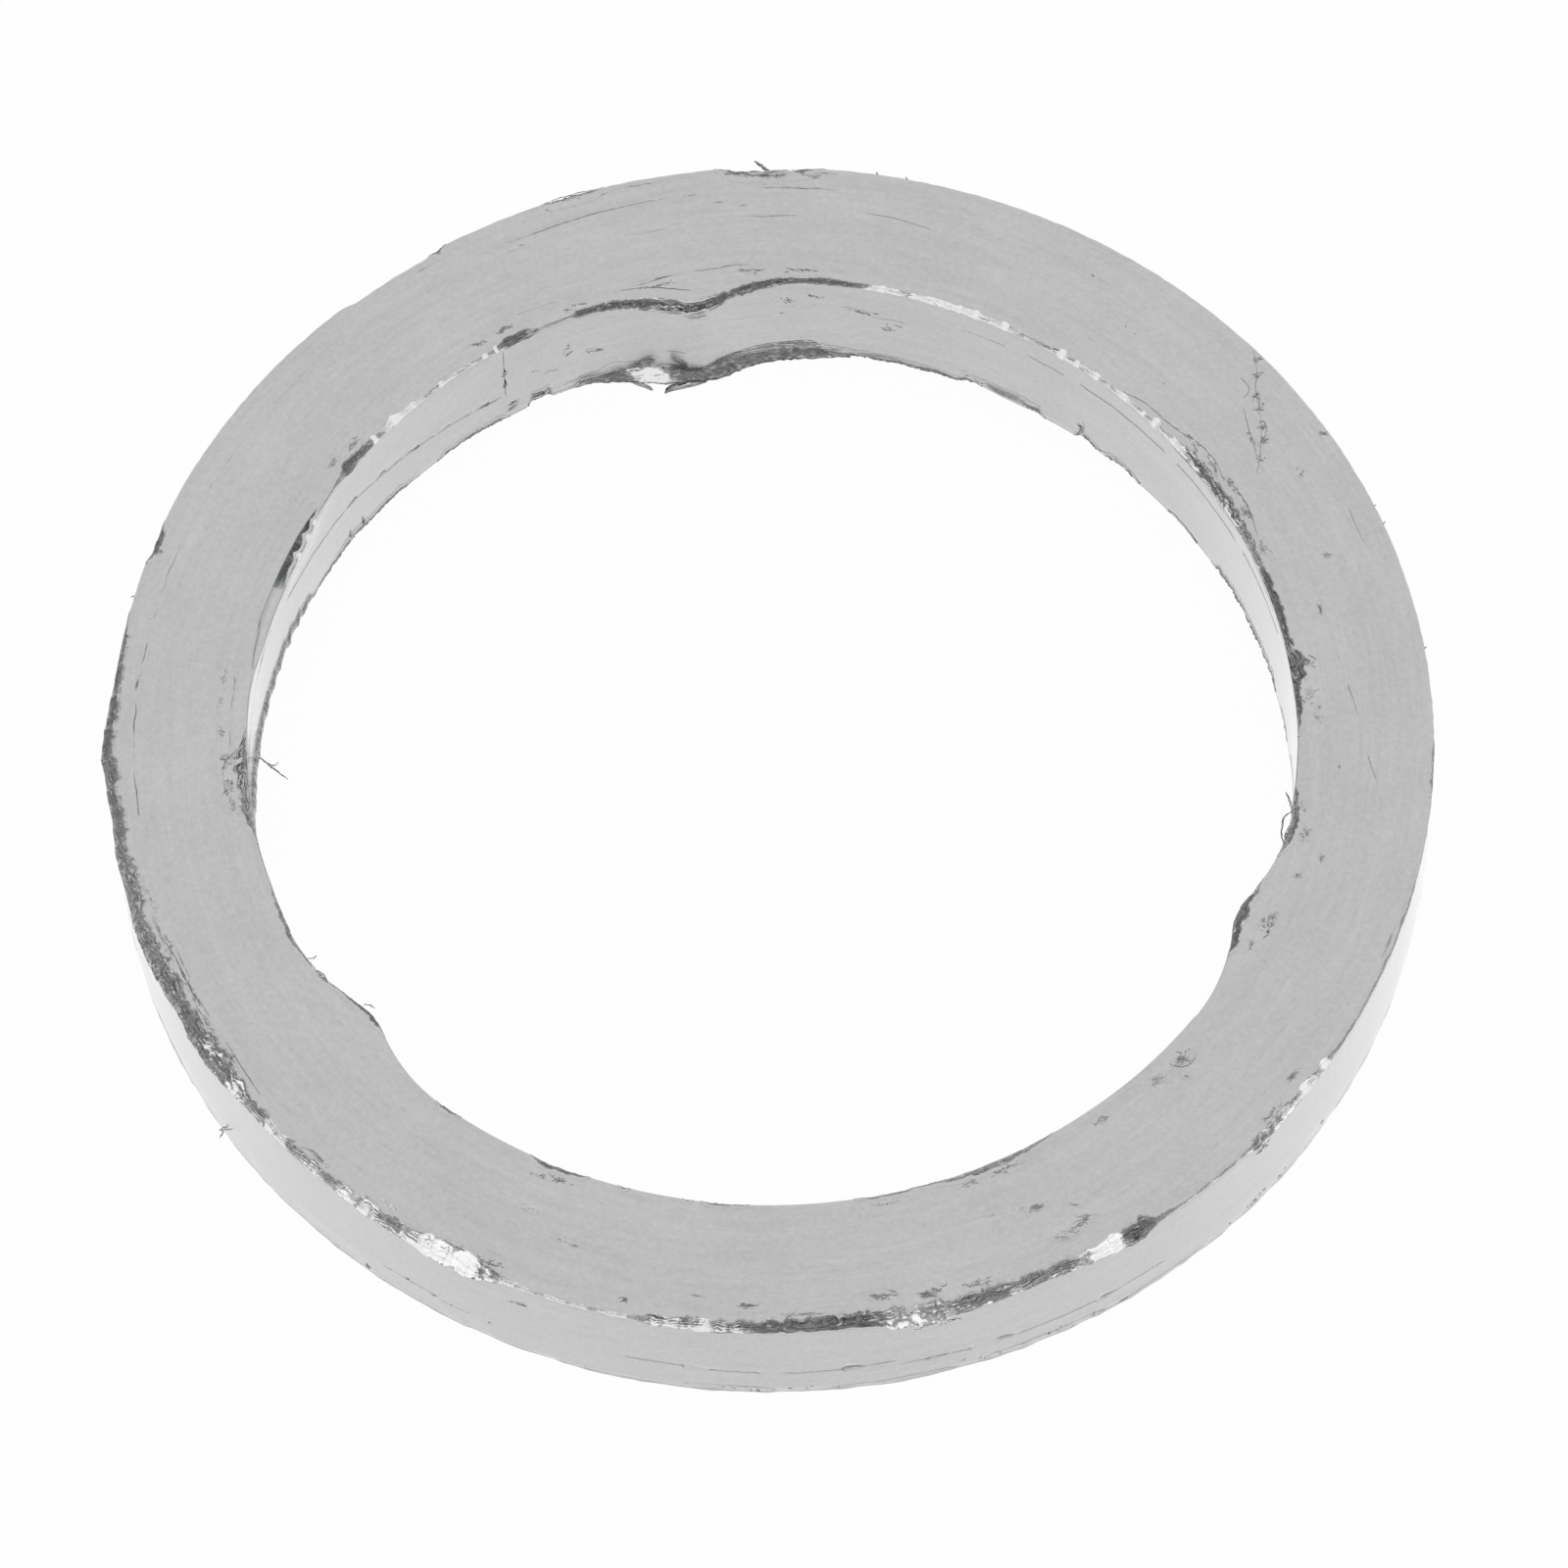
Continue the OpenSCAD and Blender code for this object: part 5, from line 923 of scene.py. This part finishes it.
tangles = [
    ["face", 31.6, 21.5, 0.14, 0.16, 7, 88, 0.6, 0.2], ["face", 33.2, 22.0, 0.14, 0.2, 9, 88, 0.7, 0.3],
    ["face", 34.5, 22.35, 0.18, 0.2, 12, 88, 0.8, 0.4], ["face", 36.1, 22.72, 0.14, 0.2, 10, 88, 0.75, 0.3],
    ["face", 37.5, 22.98, 0.14, 0.2, 9, 88, 0.7, 0.3], ["face", 39, 23.5, 0.14, 0.2, 9, 88, 0.65, 0.3],
    ["face", 40.2, 23.95, 0.16, 0.14, 8, 80, 0.65, 0.3], ["face", 33.6, 21.7, 0.3, 0.06, 8, 40, 0.6, 0],
    ["face", 182.4, 20.0, 0.34, 0.16, 22, 80, 0.6, 0.4], ["face", 185.2, 20.0, 0.36, 0.16, 24, 60, 0.65, 0.5],
    ["face", 187.6, 19.85, 0.3, 0.14, 14, 30, 0.6, 0.4], ["face", 179, 20.2, 0.4, 0.08, 8, 0, 0.5, 0.2],
    ["face", 176, 20.3, 0.5, 0.05, 8, 0, 0.55, 0.1], ["face", 172.5, 20.25, 0.3, 0.1, 8, 40, 0.5, 0.1],
    ["face", 119.6, 19.9, 0.4, 0.08, 14, 10, 0.65, 0.4], ["face", 122.4, 19.85, 0.3, 0.07, 8, -15, 0.6, 0.3],
    ["face", 141, 19.85, 0.34, 0.1, 14, 20, 0.65, 0.4], ["face", 144, 19.95, 0.3, 0.1, 10, 10, 0.55, 0.3],
    ["face", 27, 19.85, 0.5, 0.1, 18, 10, 0.7, 0.4], ["face", 30.5, 19.95, 0.5, 0.1, 18, 20, 0.7, 0.4],
    ["face", 34, 19.9, 0.5, 0.12, 20, 30, 0.7, 0.5], ["face", 37.5, 19.85, 0.4, 0.1, 14, 20, 0.7, 0.4],
    ["face", 22, 19.75, 0.3, 0.14, 12, 50, 0.6, 0.4], ["face", 7.4, 19.9, 0.3, 0.2, 16, 60, 0.7, 0.3],
    ["face", 3.6, 19.8, 0.4, 0.22, 18, 50, 0.55, 0.4], ["face", 0.8, 20.0, 0.2, 0.12, 8, 60, 0.5, 0.3],
    ["face", 346.8, 19.9, 0.34, 0.14, 14, 10, 0.55, 0.3], ["face", 350, 19.7, 0.3, 0.1, 8, 10, 0.55, 0.3],
    ["face", 335.4, 19.75, 0.4, 0.2, 22, 20, 0.65, 0.3], ["face", 332.4, 19.5, 0.24, 0.1, 10, 50, 0.7, 0.1],
    ["face", 317, 20.0, 0.3, 0.24, 24, 40, 0.65, 0.3], ["face", 313.3, 19.95, 0.26, 0.16, 14, 30, 0.65, 0.3],
    ["face", 306, 19.85, 0.28, 0.1, 12, 10, 0.6, 0.2], ["face", 322.2, 23.5, 0.3, 0.14, 16, 20, 0.6, 0.3],
    ["face", 318, 23.85, 0.4, 0.07, 14, 0, 0.7, 0.3], ["face", 298.6, 22.8, 0.3, 0.18, 22, 30, 0.6, 0.3],
    ["face", 295.4, 21.6, 0.34, 0.12, 16, 20, 0.6, 0.1], ["face", 296.6, 23.0, 0.5, 0.1, 14, 15, 0.5, 0.3],
    ["face", 294, 19.75, 0.6, 0.1, 18, 5, 0.6, 0.2], ["face", 290.4, 19.75, 0.5, 0.08, 10, 5, 0.5, 0.2],
    ["face", 280.5, 19.65, 0.5, 0.06, 10, 0, 0.5, 0.2], ["face", 279.4, 23.25, 0.5, 0.14, 20, 30, 0.75, 0.2],
    ["face", 283.4, 23.4, 0.5, 0.16, 24, 20, 0.75, 0.4], ["face", 287.4, 23.55, 0.5, 0.1, 16, 10, 0.6, 0.3],
    ["face", 267.2, 23.28, 0.34, 0.1, 14, 0, 0.75, 0.2], ["face", 256.4, 23.6, 0.14, 0.12, 10, 60, 0.75, 0.3],
    ["face", 271.4, 23.62, 0.7, 0.06, 10, 0, 0.6, 0], ["face", 245.2, 21.2, 0.36, 0.16, 12, 20, 0.5, 0.9],
    ["face", 248.8, 21.95, 0.3, 0.05, 6, 0, 0.5, 0.9], ["face", 250.4, 22.0, 0.24, 0.03, 5, 0, 0.7, 0.3],
    ["face", 246.6, 19.75, 0.5, 0.12, 18, 10, 0.65, 0.4], ["face", 244.4, 19.9, 0.3, 0.1, 10, 20, 0.6, 0.3],
    ["face", 201, 23.6, 0.9, 0.1, 22, 0, 0.65, 0.2], ["face", 205.6, 23.52, 0.9, 0.07, 20, 0, 0.7, 0.1],
    ["face", 209.6, 23.6, 0.6, 0.1, 16, 0, 0.65, 0.2], ["face", 213.6, 23.6, 0.6, 0.1, 16, 0, 0.6, 0.3],
    ["face", 196, 23.6, 0.7, 0.1, 14, 0, 0.55, 0.3], ["face", 234, 23.62, 0.6, 0.08, 14, 0, 0.5, 0.6],
    ["face", 240.6, 23.74, 1.1, 0.05, 18, 8, 0.85, 0.1], ["face", 239.5, 23.98, 1.1, 0.1, 12, 10, 0.7, 0.5],
    ["face", 244.4, 23.75, 0.4, 0.14, 20, -10, 0.8, 0.4], ["face", 226, 23.8, 0.6, 0.08, 14, 0, 0.65, 0.4],
    ["face", 89, 23.85, 0.7, 0.08, 24, 0, 0.7, 0.4], ["face", 85.4, 23.9, 0.5, 0.06, 10, 0, 0.55, 0.2],
    ["face", 93, 24.0, 0.5, 0.04, 10, 0, 0.6, 0.1], ["face", 30.8, 24.0, 0.14, 0.12, 10, 60, 0.6, 0.1],
    ["face", 107, 24.1, 0.6, 0.04, 6, 0, 0.45, 0.1], ["face", 174, 24.05, 0.7, 0.06, 14, 0, 0.6, 0.1],
    ["face", 344.3, 20.7, 0.14, 0.08, 8, 50, 0.55, 0.2], ["face", 341.8, 20.1, 0.16, 0.1, 8, 40, 0.6, 0.3],
    ["face", 19, 21.8, 0.14, 0.12, 8, 60, 0.55, 0.2], ["face", 28.1, 22.45, 0.24, 0.03, 5, 60, 0.6, 0],
    ["face", 101.6, 19.55, 0.7, 0.07, 16, 0, 0.55, 0.6], ["face", 92, 19.75, 0.7, 0.06, 14, 0, 0.65, 0.2],
    ["face", 86.4, 19.75, 0.6, 0.07, 14, 0, 0.65, 0.2], ["face", 112, 19.6, 0.6, 0.04, 8, 0, 0.6, 0],
    ["bore", 103.8, 0.9, 0.24, 0.26, 22, 80, 0.7, 0.1], ["bore", 120, 0.75, 0.16, 0.3, 10, 70, 0.6, 0],
    ["bore", 116.4, 0.6, 0.36, 0.14, 14, 0, 0.8, 0], ["bore", 112.6, 3.0, 0.1, 0.34, 5, 80, 0.45, 0],
    ["bore", 109.4, 2.2, 0.3, 0.12, 10, 20, 0.45, 0], ["bore", 87.6, 3.9, 0.14, 0.3, 6, 60, 0.4, 0],
    ["bore", 84.4, 4.2, 0.5, 0.1, 8, 10, 0.4, 0], ["bore", 79, 3.4, 0.5, 0.2, 8, 10, 0.35, 0],
    ["bore", 76, 2.6, 0.4, 0.3, 8, 30, 0.3, 0], ["bore", 52.2, 0.8, 0.05, 0.3, 10, 90, 0.9, 0],
    ["bore", 142.2, 0.7, 0.06, 0.26, 8, 90, 0.8, 0], ["bore", 144.6, 0.75, 0.06, 0.26, 8, 90, 0.8, 0],
    ["bore", 120.7, 2.4, 0.05, 0.3, 8, 90, 0.8, 0], ["bore", 120.7, 3.3, 0.06, 0.14, 6, 90, 0.8, 0],
    ["outer", 316, 4.5, 0.25, 0.34, 18, 70, 0.7, 0.4], ["outer", 302, 4.7, 0.4, 0.16, 18, 20, 0.75, 0.2],
    ["outer", 283, 4.3, 0.9, 0.12, 24, 0, 0.55, 0.7], ["outer", 210, 4.2, 0.9, 0.12, 18, 0, 0.65, 0.3],
    ["outer", 198, 4.1, 1.2, 0.16, 22, 0, 0.65, 0.3], ["outer", 239, 1.4, 2.4, 0.2, 8, 0, 0.2, 0.8],
    ["outer", 232, 0.45, 0.02, 0.2, 6, 90, 0.9, 0], ["outer", 247.2, 3.9, 0.3, 0.04, 8, 10, 0.6, 0.3],
    ["outer", 292, 0.45, 3, 0.2, 14, 80, 0.25, 0], ["outer", 270, 0.4, 3, 0.16, 12, 80, 0.25, 0],
    ["outer", 316, 0.5, 3.4, 0.24, 14, 80, 0.22, 0],
]


def buildTangles(rows):
    knots, sides = 5, 4
    places, faces, shadeAndMarksParts, gleams = [], [], [], []
    start = 0
    ring = np.linspace(0, 2 * math.pi, sides, endpoint=False) + math.pi / 4
    quad = np.arange(knots * sides).reshape(knots, sides)
    tube = np.stack([quad[:-1], quad[1:], np.roll(quad[1:], -1, axis=1), np.roll(quad[:-1], -1, axis=1)], axis=-1).reshape(-1, 4)
    for number, (surface, angle, level, long, wide, strokes, lean, shadeAndMarks, gleam) in enumerate(rows):
        random = np.random.default_rng(400 + number)
        mean = {"face": level, "bore": boreR, "outer": outerR}[surface]
        for _ in range(strokes):
            u0, v0 = random.normal(0, 0.5, 2) * (long, wide)
            turn = math.radians(lean * random.choice([-1, 1]) * (random.uniform(0.4, 1) if lean else 0) + random.normal(0, 11))
            length, bend = random.uniform(0.12, 0.42), random.normal(0, 0.9)
            thick = random.uniform(0.009, 0.019)
            t = np.linspace(-0.5, 0.5, knots)
            heading = turn + bend * t * 2
            u, v = u0 + length * t * np.cos(heading), v0 + length * t * np.sin(heading)
            girth = thick * np.sqrt(np.clip(1.05 - 4 * t * t, 0.04, 1))
            across = girth[:, None] * np.cos(ring)[None, :]
            rise = girth[:, None] * (1 + np.sin(ring))[None, :] * 0.8
            u2, v2 = u[:, None] - across * math.sin(turn), v[:, None] + across * math.cos(turn)
            angles = angle + np.degrees(u2 / mean)
            if surface == "face":
                radius = level + v2
                z = np.minimum(faceLevel(angles, radius) + rise, height + 0.01)
            else:
                z = np.clip(level + v2, 0.02, height - 0.02)
                radius = innerWall(angles, z) - rise if surface == "bore" else outerWall(angles, z) + rise
            places.append(polar(radius, angles, z))
            faces.append(start + tube)
            shadeAndMarksParts.append(np.full(knots * sides, shadeAndMarks * random.uniform(0.6, 1.25)))
            gleams.append(np.full(knots * sides, gleam * random.uniform(0, 1.7)))
            start += knots * sides
    return np.concatenate(places), np.concatenate(faces), np.concatenate(shadeAndMarksParts), np.concatenate(gleams)


addPiece("shreds", *buildShreds(shreds))
addPiece("tangles", *buildTangles(tangles))


# Table, light and camera

studio = {
    "tableGrey": 0.95,
    "tableDrop": 0.02,         # mm between the table and the underside
    "tableShow": 0.97,         # how much of the table's white comes without shade
    "sky": 1.0,
    "lampPower": 0.02,
}


def whiteTable(look):
    board = Board("whiteTable")
    seen = board.put("ShaderNodeLightPath")
    paint = board.put("ShaderNodeBsdfDiffuse", {}, {"Color": (look["tableGrey"],) * 3 + (1,)})
    glow = board.put("ShaderNodeEmission", {}, {"Color": (1, 1, 1, 1), "Strength": 1.0})
    direct = board.put("ShaderNodeMath", {"operation": "MAXIMUM"}, {0: seen, 1: seen.out(3)})
    mixed = board.put("ShaderNodeMixShader", {}, {0: direct * look["tableShow"], 1: paint, 2: glow})
    board.put("ShaderNodeOutputMaterial", {}, {0: mixed})
    return board.material


def buildTable(look):
    mesh = bpy.data.meshes.new("table")
    reach, level = 3.0, -look["tableDrop"] * mm
    corners = [(x * reach, y * reach, level) for x, y in ((-1, -1), (1, -1), (1, 1), (-1, 1))]
    mesh.from_pydata(corners, [], [(0, 1, 2, 3)])
    mesh.materials.append(whiteTable(look))
    table = bpy.data.objects.new("table", mesh)
    bpy.context.collection.objects.link(table)


def buildLight(look):
    world = bpy.data.worlds.new("studio")
    bpy.context.scene.world = world
    world.use_nodes = True
    nodes, links = world.node_tree.nodes, world.node_tree.links
    nodes.clear()
    path = nodes.new("ShaderNodeLightPath")
    level = nodes.new("ShaderNodeMapRange")
    back = nodes.new("ShaderNodeBackground")
    out = nodes.new("ShaderNodeOutputWorld")
    level.inputs[3].default_value = look["sky"]
    level.inputs[4].default_value = 1.0
    links.new(path.outputs["Is Camera Ray"], level.inputs[0])
    links.new(level.outputs[0], back.inputs["Strength"])
    links.new(back.outputs[0], out.inputs[0])
    for name, place, size in (("softLeft", (-0.5, -0.25, 0.35), 0.5), ("softRight", (0.55, 0.1, 0.3), 0.5)):
        lamp = bpy.data.lights.new(name, "AREA")
        lamp.size = size
        lamp.energy = look["lampPower"]
        holder = bpy.data.objects.new(name, lamp)
        holder.location = place
        holder.rotation_euler = (Vector((0, 0, 0)) - Vector(place)).to_track_quat("-Z", "Y").to_euler()
        bpy.context.collection.objects.link(holder)


view = {
    "focus": 249.54,           # mm on a 36 mm wide sensor
    "elevation": 61.761,
    "roll": -0.864,
    "target": (0.41579, 0.67673, 0),
    "distance": 403.209,
}


def buildCamera(look):
    tilt, roll = math.radians(look["elevation"]), math.radians(look["roll"])
    back = Vector((0, -math.cos(tilt), math.sin(tilt)))
    right = Vector((1, 0, 0))
    up = back.cross(right)
    rolledRight = math.cos(roll) * right + math.sin(roll) * up
    rolledUp = -math.sin(roll) * right + math.cos(roll) * up
    place = (Vector(look["target"]) + look["distance"] * back) * mm
    lens = bpy.data.cameras.new("view")
    lens.sensor_width = 36
    lens.lens = look["focus"]
    lens.clip_start = 0.01
    camera = bpy.data.objects.new("view", lens)
    frameAxes = Matrix((rolledRight, rolledUp, back)).transposed().to_4x4()
    camera.matrix_world = Matrix.Translation(place) @ frameAxes
    bpy.context.collection.objects.link(camera)
    bpy.context.scene.camera = camera


buildTable(studio)
buildLight(studio)
buildCamera(view)
bpy.context.scene.view_settings.view_transform = "Standard"
print("table, light and camera set")
